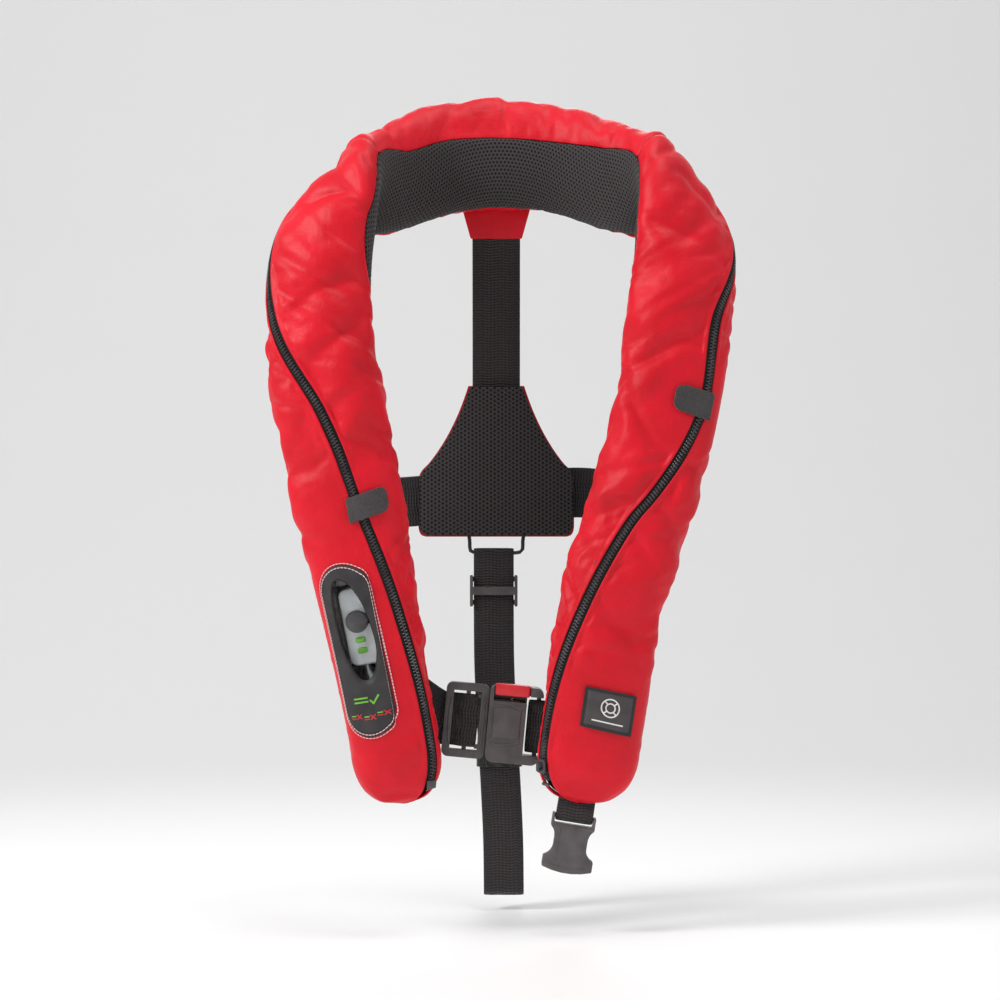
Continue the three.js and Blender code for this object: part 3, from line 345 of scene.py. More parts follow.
def spacer(name):
    """Spacer mesh: staggered round holes in a soft knit, 2.9 mm apart; the holes are not cut but painted near
    black as shade.
    """
    finish = Finish(name, roughness=0.85, specular=0.25)
    finish.shader.inputs["Sheen Weight"].default_value = 0.1
    finish.shader.inputs["Sheen Roughness"].default_value = 0.5
    uv = finish.place("UV")
    pitch = 0.0034
    along = finish.math("DIVIDE", finish.axis(uv, "X"), pitch)
    across = finish.math("DIVIDE", finish.axis(uv, "Y"), pitch * 0.866)
    row = finish.math("FLOOR", across)
    shifted = finish.math("ADD", along, finish.math("MULTIPLY", row, 0.5))
    dx = finish.math("SUBTRACT", finish.math("FRACT", shifted), 0.5)
    dy = finish.math("MULTIPLY", finish.math("SUBTRACT", finish.math("FRACT", across), 0.5), 0.866)
    reach = finish.math("SQRT", finish.math("ADD", finish.math("POWER", finish.math("ABSOLUTE", dx), 2.0),
                                            finish.math("POWER", finish.math("ABSOLUTE", dy), 2.0)))
    solid = finish.node("MapRange")
    solid.interpolation_type = "SMOOTHSTEP"
    solid.inputs["From Min"].default_value = 0.16
    solid.inputs["From Max"].default_value = 0.36
    finish.link(reach, solid.inputs["Value"])
    knit = solid.outputs[0]
    grain = finish.speckle("UV", 0.0007, 2.0)
    knit_tone_with_hole_shade = finish.math("MULTIPLY", knit, finish.math("ADD", 0.72, finish.math("MULTIPLY", grain, 0.5)))
    # The ramp's near-black first stop is painted shade in the holes, in place of real holes.
    finish.colour(finish.ramp(knit_tone_with_hole_shade, [(0.0, linear(5, 5, 5)), (0.5, linear(24, 22, 23)),
                                      (1.0, linear(66, 61, 62))]))
    finish.bump((knit, 0.0009), (grain, 0.0002))
    return finish.material


WEAVE_PITCH = 0.0022


def webbing_finish(name, dark, light):
    """Woven polyester: ribs across the tape and a herringbone of fine yarns."""
    finish = Finish(name, roughness=0.72, specular=0.35)
    finish.shader.inputs["Sheen Weight"].default_value = 0.2
    finish.shader.inputs["Sheen Roughness"].default_value = 0.4
    uv = finish.place("UV")
    lengthwise = finish.axis(uv, "X")
    across = finish.axis(uv, "Y")
    zig = finish.math("MULTIPLY", finish.math("PINGPONG", across, 0.0035), 0.35)
    twill = finish.ripple(finish.math("ADD", lengthwise, zig), WEAVE_PITCH)
    yarn = finish.ripple(across, 0.0011)
    grain = finish.speckle("UV", 0.0008, 2.0)
    light_share = finish.math("ADD", finish.math("MULTIPLY", twill, 0.45),
                              finish.math("ADD", finish.math("MULTIPLY", yarn, 0.2),
                                          finish.math("MULTIPLY", grain, 0.35)))
    finish.colour(finish.ramp(light_share, [(0.15, dark), (0.85, light)]))
    finish.bump((twill, 0.00045), (yarn, 0.00016), (grain, 0.00015))
    return finish.material


def plain_cloth(name, dark, light, pitch, height, roughness=0.85):
    """A matt woven or pile cloth."""
    finish = Finish(name, roughness=roughness, specular=0.3)
    finish.shader.inputs["Sheen Weight"].default_value = 0.2
    grain = finish.speckle("Object", pitch, 3.0)
    drift = finish.speckle("Object", 0.02, 2.0)
    finish.colour(finish.ramp(finish.math("ADD", finish.math("MULTIPLY", grain, 0.7),
                                          finish.math("MULTIPLY", drift, 0.3)),
                              [(0.3, dark), (0.7, light)]))
    finish.bump((grain, height))
    return finish.material


RED_NYLON = nylon("red_nylon", linear(197, 2, 24), linear(226, 5, 36))
RED_BACKING = plain_cloth("red_backing", linear(176, 12, 26), linear(214, 24, 38), 0.0008, 0.0001)
SPACER_MESH = spacer("spacer_mesh")
BLACK_WEBBING = webbing_finish("black_webbing", linear(17, 15, 16), linear(66, 60, 61))
BLACK_LINING = plain_cloth("black_lining", linear(22, 20, 22), linear(46, 43, 45), 0.0009, 0.00012)
ZIP_TAPE = plain_cloth("zip_tape", linear(12, 11, 12), linear(34, 31, 33), 0.0007, 0.0001)
TAB_PILE = plain_cloth("tab_pile", linear(44, 41, 42), linear(88, 83, 84), 0.0006, 0.0003, 0.95)
FOAM = plain_cloth("foam", linear(28, 27, 29), linear(52, 50, 52), 0.0012, 0.0002)
BLADDER = plain_cloth("bladder_film", linear(92, 86, 86), linear(150, 144, 142), 0.004, 0.0003, 0.4)
THREAD_PALE = plain_cloth("thread_pale", linear(222, 176, 178), linear(250, 222, 222), 0.0004, 0.00005)
print("cloths", [m.name for m in bpy.data.materials])


# %% [markdown]
# Moulded plastic is never quite smooth. A fine spark-eroded grain breaks up its gloss, and the
# parts people rub are a little shinier. Metal gets a brushed grain, and its colour drifts with it.

# %% Hard finishes
def moulded(name, dark, light, roughness=0.42, grain_height=0.00003, **sockets):
    finish = Finish(name, roughness=roughness, specular=0.5, **sockets)
    grain = finish.speckle("Object", 0.0006, 2.0)
    drift = finish.speckle("Object", 0.012, 3.0)
    finish.colour(finish.ramp(drift, [(0.3, dark), (0.7, light)]))
    finish.rough(drift, roughness - 0.06, roughness + 0.1)
    finish.bump((grain, grain_height))
    return finish.material


GREY_PLASTIC = moulded("grey_plastic", linear(72, 68, 69), linear(92, 87, 88), 0.42)
ZIP_PLASTIC = moulded("zip_plastic", linear(44, 41, 42), linear(78, 75, 76), 0.24)
RED_PLASTIC = moulded("red_plastic", linear(214, 30, 42), linear(234, 48, 58), 0.34)
WHITE_PLASTIC = moulded("white_plastic", linear(206, 207, 205), linear(232, 233, 231), 0.35)
GREEN_PLASTIC = moulded("green_plastic", linear(96, 168, 40), linear(136, 204, 62), 0.35)
RED_PRINT = moulded("red_print", linear(190, 28, 38), linear(214, 40, 48), 0.5)
PANEL_PRINT = moulded("panel_print", linear(34, 32, 33), linear(52, 49, 50), 0.55, 0.00005)
PATCH_RUBBER = moulded("patch_rubber", linear(52, 48, 50), linear(74, 69, 70), 0.6, 0.00006)
PATCH_RIM = moulded("patch_rim", linear(20, 18, 19), linear(34, 31, 32), 0.5, 0.00006)
PALE_PRINT = moulded("pale_print", linear(214, 212, 210), linear(240, 238, 236), 0.5)
TUBE_RUBBER = moulded("tube_rubber", linear(24, 24, 26), linear(40, 39, 41), 0.6, 0.00005)
BRIGHT_STEEL = moulded("bright_steel", linear(150, 152, 155), linear(196, 198, 200), 0.3, 0.00002,
                       Metallic=1.0)
RING_STEEL = moulded("ring_steel", linear(34, 34, 36), linear(58, 57, 58), 0.4, 0.00003)
CLEAR_VINYL = moulded("clear_vinyl", linear(238, 242, 244), linear(250, 252, 253), 0.12, 0.00001,
                      Transmission_Weight=1.0, IOR=1.1)
print("finishes", len(bpy.data.materials))

# %% [markdown]
# ## The cover's shape
# The cover is a flattened tube that runs from one lobe's tip over the shoulders and the nape to the
# other tip. A tube like this could be sculpted, but a few stations along its middle describe it
# better: each gives the place, the half width and thickness and how the section is turned. A smooth
# curve goes through them, and one squarish oval is its section. The values are the CAD model's own,
# so panels, zip and patches land where its solids are.

# %% Stations of the cover
SPREAD = 136 * MM
DROP = 504 * MM
DEPTH = 110 * MM
NAPE_HALF = 44 * MM
LOBE_HALF = 42 * MM
HALF_THICK = 23 * MM
SQUARENESS = 2.4
TIP_ROUND = 0.62
SHOULDER_SEAM = 7.3
LINING_SEAM = 5.5
KEYS = ("left", "right", "down", "ahead", "turn", "half_left", "half_right", "thick", "zip_left", "zip_right",
        "rim_left", "rim_right")
STATIONS = [dict(zip(KEYS, row)) for row in (
    (0.53, 0.45, 0.995, 0.93, 0, 0.8, 0.9, 0.7, 139, 150, 166, 166),
    (0.61, 0.52, 0.86, 0.97, 0, 0.81, 0.92, 0.85, 139, 149, 166, 166),
    (0.71, 0.6, 0.717, 1.0, 0, 0.87, 0.96, 0.92, 122, 118, 166, 166),
    (0.82, 0.765, 0.562, 1.0, 0, 0.97, 0.98, 0.98, 98, 91, 166, 166),
    (0.935, 0.92, 0.403, 1.0, 0, 1.0, 0.94, 1, 82, 54, 166, 166),
    (1.0, 0.99, 0.268, 0.97, 5, 0.96, 0.96, 1, 37, 54, 167, 166),
    (0.97, 1.02, 0.155, 0.87, 25, 0.93, 0.93, 1, 18, 20, 194, 168),
    (0.85, 0.95, 0.078, 0.64, 62, 0.95, 0.95, 0.98, 52, 52, 151, 140),
    (0.62, 0.67, 0.046, 0.29, 105, 1.0, 1.0, 0.95, 68, 68, 121, 125),
    (0.335, 0.35, 0.011, 0.06, 145, 1.03, 1.03, 0.95, 70, 70, 106, 104),
    (0, 0, 0, 0, 180, 1, 1, 0.95, 70, 70, 100, 100),
)]
NAPE_AT = len(STATIONS) - 1
LAST = 2 * NAPE_AT


def station_at(index):
    """The real sizes at a whole station, counted from the left tip over the nape to the right tip."""
    index = min(LAST, max(0, index))
    row = STATIONS[min(index, LAST - index)]
    right = index > NAPE_AT
    side = "right" if right else "left"
    return {
        "x": (row["right"] if right else -row["left"]) * SPREAD,
        "y": -row["ahead"] * DEPTH,
        "z": NAPE_HALF - row["down"] * DROP,
        "half": row["half_" + side] * (NAPE_HALF if index == NAPE_AT else LOBE_HALF),
        "thick": row["thick"] * HALF_THICK,
        "turn": 360 - row["turn"] if right else row["turn"],
        "zip": row["zip_" + side],
        "rim": row["rim_" + side],
    }


SIZES = [station_at(index) for index in range(LAST + 1)]


def along(key, s):
    """A size at any place, on one smooth curve through the stations."""
    i = min(LAST - 1, max(0, math.floor(s)))
    t = s - i
    a, b, c, d = (SIZES[min(LAST, max(0, i + step))][key] for step in (-1, 0, 1, 2))
    return b + 0.5 * t * (c - a + t * (2 * a - 5 * b + 4 * c - d + t * (3 * (b - c) + d - a)))


def spine(s):
    return Vector((along("x", s), along("y", s), along("z", s)))


@functools.lru_cache(maxsize=None)
def section(s):
    """Centre, outward and wearer's directions, half width and half thickness at s."""
    inside = min(LAST - 0.4, max(0.4, s))
    tangent = (spine(inside + 0.02) - spine(inside - 0.02)).normalized()
    turn = math.radians(along("turn", inside))
    body = Vector((math.sin(turn), math.cos(turn), 0.0))
    body = (body - tangent * body.dot(tangent)).normalized()
    left = min(1.0, min(s, LAST - s) / TIP_ROUND)
    close = max(0.12, math.sqrt(max(0.0, 1 - (1 - left) ** 2)))
    return spine(s), tangent.cross(body), body, along("half", s) * close, along("thick", s) * close, tangent


def section_point(s, angle):
    """A point of the skin: 0 degrees is the outer edge, 90 the wearer's side, -90 the front."""
    centre, out, body, half, thick, _ = section(s)
    c, n = math.cos(math.radians(angle)), math.sin(math.radians(angle))
    power = 2 / SQUARENESS
    across = math.copysign(abs(c) ** power, c) * half
    deep = math.copysign(abs(n) ** power, n) * thick
    return centre + out * across + body * deep


def normal_at(s, angle):
    round_it = section_point(s, angle + 2) - section_point(s, angle - 2)
    on = section_point(min(LAST, s + 0.04), angle) - section_point(max(0, s - 0.04), angle)
    normal = on.cross(round_it).normalized()
    return -normal if normal.dot(section_point(s, angle) - section(s)[0]) < 0 else normal


def cover_point(s, angle, lift=0.0):
    return section_point(s, angle) + normal_at(s, angle) * lift


def round_by(s, angle, distance, steps=6):
    """The angle that lies `distance` metres further round the section."""
    for _ in range(steps):
        speed = (section_point(s, angle + 1) - section_point(s, angle - 1)).length / 2
        angle += distance / steps / max(0.00005, speed)
    return angle


def along_by(s, distance):
    return s + distance / ((spine(s + 0.1) - spine(s - 0.1)).length / 0.2)


def smoothstep(value, low, high):
    t = min(1.0, max(0.0, (value - low) / (high - low)))
    return t * t * (3 - 2 * t)


def mix(a, b, share):
    return a + (b - a) * share


def nape_share(s):
    return smoothstep(min(s, LAST - s), 6, 9)


def zip_angle(s):
    return -along("zip", s)


def lining_out(s):
    return mix(24, 10, nape_share(s))


def lining_in(s):
    return along("rim", s)


print("spine from", tuple(spine(0)), "to", tuple(spine(LAST)))

# %% [markdown]
# ## One skin for all panels
# Each panel could be modelled on its own, but neighbours have to meet along every seam. So we lay one
# grid round the whole tube, with its columns running along the seams, and take the panels out of it
# afterwards. Columns stand closer near the zip, where the hem needs them. The sides are measured
# round the section in metres, so the cloth's own pattern keeps its scale.

# %% Columns that follow the seams
ZIP_HALF = 4.0 * MM
GIRTH_STEP = 2.0
HEM = [d * MM for d in (1.1, 2.4, 3.8, 5.6, 8.5)]
FREE_OUTER = 13
FREE_INNER = 15
FREE_LINING = 16


@functools.lru_cache(maxsize=None)
def girth(s):
    """Angles round the section and the length of skin up to each, from the outer lining seam."""
    start = lining_out(s)
    angles = [start - k * GIRTH_STEP for k in range(round(360 / GIRTH_STEP) + 1)]
    points = [section_point(s, angle) for angle in angles]
    lengths = [0.0]
    for a, b in zip(points, points[1:]):
        lengths.append(lengths[-1] + (b - a).length)
    return angles, lengths


def angle_at(s, length):
    angles, lengths = girth(s)
    i = min(len(lengths) - 2, max(0, bisect.bisect_right(lengths, length) - 1))
    share = (length - lengths[i]) / max(1e-9, lengths[i + 1] - lengths[i])
    return mix(angles[i], angles[i + 1], share)


def length_at(s, angle):
    angles, lengths = girth(s)
    place = (angles[0] - angle) / GIRTH_STEP
    i = min(len(lengths) - 2, max(0, math.floor(place)))
    return mix(lengths[i], lengths[i + 1], place - i)


def spread(low, high, count):
    return [mix(low, high, k / count) for k in range(count)]


@functools.lru_cache(maxsize=None)
def columns(s):
    """Lengths round the section where the columns stand, and the seams' own lengths."""
    whole = girth(s)[1][-1]
    middle = length_at(s, zip_angle(s))
    share = min(1.0, whole / (150 * MM))
    first, second = middle - ZIP_HALF * share, middle + ZIP_HALF * share
    inner = length_at(s, lining_in(s) - 360)
    hem = [d * share * min(1.0, first / (26 * MM)) for d in HEM]
    run = spread(0.0, first - hem[-1], FREE_OUTER) + [first - d for d in reversed(hem)] + [first]
    hem = [d * share * min(1.0, (inner - second) / (26 * MM)) for d in HEM]
    run += [second] + [second + d for d in hem]
    run += spread(second + hem[-1], inner, FREE_INNER)[1:] + [inner]
    run += spread(inner, whole, FREE_LINING)[1:] + [whole]
    return run, first, second, inner


ZIP_COLUMN = FREE_OUTER + len(HEM)
INNER_END = ZIP_COLUMN + 1 + len(HEM) + FREE_INNER
COLUMNS = len(columns(5.0)[0]) - 1
tip_rows = [TIP_ROUND * (1 - math.cos(math.pi / 2 * k / 8)) for k in range(9)]
half_rows = tip_rows + [mix(TIP_ROUND, LINING_SEAM, k / 108) for k in range(1, 109)]
half_rows += [mix(LINING_SEAM, SHOULDER_SEAM, k / 40) for k in range(1, 41)]
half_rows += [mix(SHOULDER_SEAM, NAPE_AT, k / 48) for k in range(1, 48)]
ROWS = half_rows + [NAPE_AT] + [LAST - s for s in reversed(half_rows)]
print("skin grid", len(ROWS), "x", COLUMNS)

# %% [markdown]
# ## Folds
# Nylon that was folded over a bladder keeps long soft folds. Most run from the zip down to the
# lobe's inner edge. We could sculpt them one by one. Here a few layers of noise that are stretched
# along that slope make them: the absolute value of noise has sharp valleys and round hills, as a
# crease has. Folds die out where the cloth is held: at seams, tips and under patches.

# %% Where the cloth is held, and how high it folds
WINDOW_AT = 1.68
WINDOW_ANGLE = -70
PLATE_LENGTH = 128 * MM
PLATE_HALF = 19.5 * MM
PATCH_AT = LAST - 1.07
PATCH_ANGLE = -78
TAB_LEFT_AT = 3.04
TAB_RIGHT_AT = 15.93


def still_places():
    """Points on the cover, each with the radius in which the cloth lies flat under a patch."""
    places = []
    for step in range(-4, 5):
        s = along_by(WINDOW_AT, step * PLATE_LENGTH / 10)
        places.append((section_point(s, WINDOW_ANGLE), PLATE_HALF + 5 * MM))
    places.append((section_point(PATCH_AT, PATCH_ANGLE), 31 * MM))
    for s in (TAB_LEFT_AT, TAB_RIGHT_AT):
        places.append((section_point(s, zip_angle(s)), 26 * MM))
    return places


STILL = still_places()


def freedom(point):
    """0 under a patch, 1 a little way off."""
    return min(smoothstep((point - centre).length, radius, radius + 22 * MM) for centre, radius in STILL)


@functools.lru_cache(maxsize=None)
def run_length(row):
    """Metres along the spine up to a row of the grid."""
    if row == 0:
        return 0.0
    return run_length(row - 1) + (spine(ROWS[row]) - spine(ROWS[row - 1])).length


for row_number in range(len(ROWS)):
    run_length(row_number)
SKIN_LENGTH = run_length(len(ROWS) - 1)


def fold_height(row, length, s, kind):
    """Height of the large folds in metres."""
    _, first, second, inner = columns(s)
    right = s > NAPE_AT
    run = SKIN_LENGTH - run_length(row) if right else run_length(row)
    seed = 7.3 if right else 2.1
    if kind == "lining":
        return 0.0
    from_zip = (length - second) if kind == "inner" else (first - length)
    to_edge = (inner - length) if kind == "inner" else length
    slope = 0.75 if kind == "inner" else 0.35
    lean = run + slope * from_zip
    broad = noise.noise((lean / 0.042, from_zip / 0.11, seed))
    crease = abs(noise.noise((lean / 0.03 + 9, from_zip / 0.085, seed + 5)))
    cross = abs(noise.noise(((run - 0.5 * from_zip) / 0.036, from_zip / 0.06, seed + 11)))
    collar = nape_share(s)
    size = mix(1.0, 0.55, collar) * smoothstep(run, 0.0, 0.14)
    lively = mix(0.6, 1.0, smoothstep(run, 0.16, 0.3)) * size
    held = smoothstep(from_zip, 0.0, 0.016) * mix(0.15, 1.0, smoothstep(to_edge, 0.0, 0.035))
    height = 4.2 * MM * broad + 7.0 * MM * (crease - 0.16) + 3.6 * MM * (cross - 0.16)
    return height * lively * held


CREASE_DEEP = 2.4 * MM
CROSS_CREASE_DEEP = 1.5 * MM
CREASE_APART = 0.03


def sharp_creases(run, from_zip, s, kind):
    """Narrow valleys that slant from the zip, in patches, with a few that cross them."""
    right = s > NAPE_AT
    seed = 27.0 if right else 21.0
    slope = 0.8 if kind == "inner" else 0.4
    forward = SKIN_LENGTH - run if right else run
    lean = noise.noise(((forward + slope * from_zip) / CREASE_APART, from_zip / 0.12, seed))
    cross = noise.noise(((forward - 0.7 * from_zip) / 0.034, from_zip / 0.09, seed + 3))
    patchy = smoothstep(noise.noise((forward / 0.09, from_zip / 0.09, seed + 5)), -0.35, 0.2)
    lively = mix(0.35, 1.0, smoothstep(forward, 0.05, 0.2)) * mix(1.0, 0.6, nape_share(s))
    sharp = -CREASE_DEEP * math.exp(-(lean / 0.13) ** 2)
    sharp -= CROSS_CREASE_DEEP * math.exp(-(cross / 0.11) ** 2)
    return sharp * patchy * lively


def fine_height(row, length, s, kind):
    """Height of the hem, its stitch groove, the puckers at the seams and small creases."""
    _, first, second, inner = columns(s)
    run = run_length(row)
    if kind == "lining":
        edge = min(length - inner, girth(s)[1][-1] - length)
        return -0.8 * MM * math.exp(-(edge / (2 * MM)) ** 2)
    from_zip = (length - second) if kind == "inner" else (first - length)
    to_edge = (inner - length) if kind == "inner" else length
    hem = 0.9 * MM * smoothstep(from_zip, -1 * MM, 0.8 * MM) * (1 - smoothstep(from_zip, 2.4 * MM, 4 * MM))
    groove = -0.8 * MM * math.exp(-((from_zip - 4.4 * MM) / (1.4 * MM)) ** 2)
    near = math.exp(-from_zip / (11 * MM)) * smoothstep(from_zip, 1 * MM, 5 * MM)
    pucker = 1.9 * MM * near * noise.noise((run / 0.0095, from_zip / 0.03, 4.0 + (kind == "inner")))
    rim = math.exp(-to_edge / (9 * MM))
    pucker += 0.9 * MM * rim * noise.noise((run / 0.013, to_edge / 0.04, 8.0 + (kind == "inner")))
    small = abs(noise.noise(((run + 0.6 * from_zip) / 0.013, from_zip / 0.035, 12.0)))
    drift = smoothstep(noise.noise((run / 0.07, from_zip / 0.07, 15.0)), -0.25, 0.35)
    seam = min(abs(s - SHOULDER_SEAM), abs(LAST - SHOULDER_SEAM - s)) * 80 * MM
    stitched = -1.1 * MM * math.exp(-(seam / (2.4 * MM)) ** 2)
    stitched += 0.7 * MM * math.exp(-((seam - 5 * MM) / (3 * MM)) ** 2)
    held = smoothstep(from_zip, 0, 0.012)
    creases = 1.3 * MM * (small - 0.15) * drift + sharp_creases(run, from_zip, s, kind)
    return hem + groove + pucker + creases * held + stitched


print("skin length", round(SKIN_LENGTH, 3))

# %% [markdown]
# ## One skin, then panels
# The whole cover is laid as one closed grid, so its panels meet without a gap. Every face knows
# which panel it belongs to. Separate panels could be modelled one by one, but their folds would
# then break at each seam.

# %% Lay the grid and mark its faces
OUTER, GAP_FACE, INNER, LINING = range(4)
KIND_NAME = {OUTER: "outer", GAP_FACE: "gap", INNER: "inner", LINING: "lining"}


def kind_of(column):
    """Which panel the faces right of this column belong to."""
    if column < ZIP_COLUMN:
        return OUTER
    if column == ZIP_COLUMN:
        return GAP_FACE
    return INNER if column < INNER_END else LINING


def skin_place(r, c):
    s = ROWS[r]
    if r in (0, len(ROWS) - 1):
        outward = (spine(s) - spine(min(LAST - 0.3, max(0.3, s)))).normalized()
        return spine(s) + outward * 1.5 * MM
    return section_point(s, angle_at(s, columns(s)[0][c]))


def skin_uv(r, c):
    return run_length(r), columns(ROWS[r])[0][c]


def build_skin():
    """The closed skin, with each vertex's row and column and each face's panel kept on it."""
    bm = grid(len(ROWS) - 1, COLUMNS, skin_place, skin_uv)
    row_of = bm.verts.layers.int.new("row")
    column_of = bm.verts.layers.int.new("column")
    part = bm.faces.layers.int.new("part")
    bm.verts.ensure_lookup_table()
    for number, vertex in enumerate(bm.verts):
        vertex[row_of], vertex[column_of] = divmod(number, COLUMNS + 1)
    for face in bm.faces:
        column = min(vertex[column_of] for vertex in face.verts)
        row = min(vertex[row_of] for vertex in face.verts)
        middle = (ROWS[row] + ROWS[row + 1]) / 2
        seam = LINING_SEAM if kind_of(column) == LINING else SHOULDER_SEAM
        side = 0 if middle < seam else (2 if middle > LAST - seam else 1)
        face[part] = side * 4 + kind_of(column)
    bmesh.ops.remove_doubles(bm, verts=bm.verts, dist=0.02 * MM)
    bmesh.ops.recalc_face_normals(bm, faces=bm.faces)
    return bm


skin = build_skin()
row_of = skin.verts.layers.int["row"]
column_of = skin.verts.layers.int["column"]
print("skin", len(skin.verts), "vertices")


def vertex_facts(vertex):
    """(row, length round the section, station, panel name) of a skin vertex."""
    row, column = vertex[row_of], vertex[column_of]
    s = ROWS[row]
    kind = KIND_NAME[kind_of(min(column, COLUMNS - 1))]
    if column in (ZIP_COLUMN, ZIP_COLUMN + 1):
        kind = "outer" if column == ZIP_COLUMN else "inner"
    return row, columns(s)[0][column], s, kind


def raise_skin(height_at):
    """Moves each vertex along its normal by height_at(row, length, station, panel)."""
    skin.normal_update()
    moves = {}
    for vertex in skin.verts:
        row, length, s, kind = vertex_facts(vertex)
        if 0 < row < len(ROWS) - 1:
            moves[vertex] = vertex.normal * height_at(row, length, s, kind) * max(0.12, loose[vertex.index])
    for vertex, move in moves.items():
        vertex.co += move


skin.verts.index_update()
loose = [freedom(vertex.co) for vertex in skin.verts]
flat_skin = [vertex.co.copy() for vertex in skin.verts]
raise_skin(fold_height)

# %% [markdown]
# ## Let the cloth settle
# Folds from noise are too even. A cloth simulation with a little pressure from inside rounds the
# hills and tightens the valleys, as a packed bladder does. Seams, tips and the cloth under patches
# are pinned. The cloth is told that it is a little larger than its shape, so it has to buckle. No
# point may move more than a few millimetres, which keeps the object's size.

# %% Cloth simulation
PRESSURE = 2.6
EXCESS = -0.035
FRAMES = 18
REACH = 5.5 * MM


def pin_weight(vertex):
    row, column = vertex[row_of], vertex[column_of]
    s = ROWS[row]
    if row < 3 or row > len(ROWS) - 4 or column >= INNER_END or column == 0:
        return 1.0
    if abs(column - ZIP_COLUMN - 0.5) < 2.6:
        return 1.0
    if min(abs(s - SHOULDER_SEAM), abs(LAST - SHOULDER_SEAM - s)) < 0.01:
        return 1.0
    return 1.0 - loose[vertex.index]


def settle(bm, weights):
    """Runs the cloth on a copy of bm and gives each vertex's new place."""
    mesh = bpy.data.meshes.new("settling")
    bm.to_mesh(mesh)
    body = bpy.data.objects.new("settling", mesh)
    scene.collection.objects.link(body)
    held = body.vertex_groups.new(name="held")
    for number, weight in enumerate(weights):
        if weight > 0.02:
            held.add([number], weight, "REPLACE")
    cloth = body.modifiers.new("cloth", "CLOTH").settings
    cloth.quality = 4
    cloth.mass = 0.2
    cloth.tension_stiffness = 18
    cloth.compression_stiffness = 18
    cloth.shear_stiffness = 6
    cloth.bending_stiffness = 0.6
    cloth.use_pressure = True
    cloth.uniform_pressure_force = PRESSURE
    cloth.shrink_min = EXCESS
    cloth.vertex_group_mass = "held"
    cloth.effector_weights.gravity = 0.0
    for number in range(1, FRAMES + 1):
        scene.frame_set(number)
    shown = body.evaluated_get(bpy.context.evaluated_depsgraph_get()).data
    places = [vertex.co.copy() for vertex in shown.vertices]
    bpy.data.objects.remove(body)
    scene.frame_set(1)
    return places


SINK = 3.2 * MM
"""How deep the cloth may settle into its own flat form."""


def capped(flat, end, normal):
    """The settled place, no further than REACH from the flat skin and not deep inside it."""
    move = end - flat
    inward = -move.dot(normal)
    if inward > SINK:
        move += normal * (inward - SINK)
    if move.length > REACH:
        move *= REACH / move.length
    return flat + move


settled = settle(skin, [pin_weight(vertex) for vertex in skin.verts])
skin.normal_update()
for vertex in skin.verts:
    at = vertex.index
    vertex.co = capped(flat_skin[at], settled[at], vertex.normal)
moved = max((vertex.co - flat_skin[vertex.index]).length for vertex in skin.verts)
print("cloth settled; furthest point moved", round(moved * 1000, 1), "mm")
raise_skin(fine_height)
skin.normal_update()

# %% [markdown]
# ## Cut the panels out
# A copy of the skin loses every face but one panel's, and a Solidify modifier gives it the thickness
# of the cloth. A subdivision then rounds the cut edge. The window needs a hole in its panel, which
# the printed plate covers all round.

# %% Panels
CLOTH_THICK = 1.3 * MM
VIEW_LENGTH = 74 * MM
VIEW_HALF = 11.5 * MM
VIEW_AT = along_by(WINDOW_AT, 17 * MM)
VIEW_LINE = [section_point(along_by(VIEW_AT, step * (VIEW_LENGTH - 2 * VIEW_HALF) / 8), WINDOW_ANGLE)
             for step in range(-4, 5)]
SIDES = ("left", "collar", "right")


def finish_cloth(piece, thick, levels=1):
    shell = piece.modifiers.new("thickness", "SOLIDIFY")
    shell.thickness = thick
    shell.offset = -1.0
    smooth = piece.modifiers.new("smooth", "SUBSURF")
    smooth.levels = smooth.render_levels = levels


def in_window(face):
    middle = face.calc_center_median()
    return min((middle - point).length for point in VIEW_LINE) < VIEW_HALF + 2.5 * MM


def panel(side, kind, name, material, *nodes):
    """One panel as its own object, riding on the jacket in place of its CAD node."""
    bm = skin.copy()
    part = bm.faces.layers.int["part"]
    wanted = SIDES.index(side) * 4 + kind
    away = [face for face in bm.faces if face[part] != wanted]
    if name == "nylon_left_outer":
        away += [face for face in bm.faces if face[part] == wanted and in_window(face)]
    bmesh.ops.delete(bm, geom=away, context="FACES")
    piece = object_from(bm, name, material)
    finish_cloth(piece, CLOTH_THICK)
    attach(piece, "jacket")
    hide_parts(*nodes)
    return piece


for side in SIDES:
    outer = panel(side, OUTER, f"nylon_{side}_outer", RED_NYLON, f"cover_{side}_outer")
    inner = panel(side, INNER, f"nylon_{side}_inner", RED_NYLON, f"cover_{side}_inner")
    back = panel(side, LINING, f"backing_{side}", SPACER_MESH if side == "collar" else BLACK_LINING,
                 f"lining_{side}")
skin.free()
print("panels done")

# %% [markdown]
# ## The zip
# A chunky moulded zip has two rows of teeth that mesh in a zig-zag, on a woven tape. One tooth is
# a bevelled block. We copy it along the zip, left and right in turn, and stand each copy square to
# the cover. A thousand copies need a light block, so it has only a few dozen faces.

# %% Zip path
ZIP_END = 0.28
TOOTH_PITCH = 2.5 * MM


def zip_place(s, offset, lift):
    """A point beside the zip's middle: offset in metres towards the inner edge, lift off the skin."""
    angle = angle_at(s, length_at(s, zip_angle(s)) + offset)
    return cover_point(s, angle, lift)


def zip_walk(step):
    """Stations that stand `step` metres apart along the zip."""
    stations, s, last = [], ZIP_END, zip_place(ZIP_END, 0, 0)
    walked, due, probe = 0.0, 0.0, 0.004
    while s < LAST - ZIP_END:
        if walked >= due:
            stations.append(s)
            due += step
        s += probe
        point = zip_place(s, 0, 0)
        walked += (point - last).length
        last = point
    return stations


teeth_at = zip_walk(TOOTH_PITCH / 2)
print("zip teeth", len(teeth_at), "over", round(len(teeth_at) * TOOTH_PITCH / 2, 3), "m")

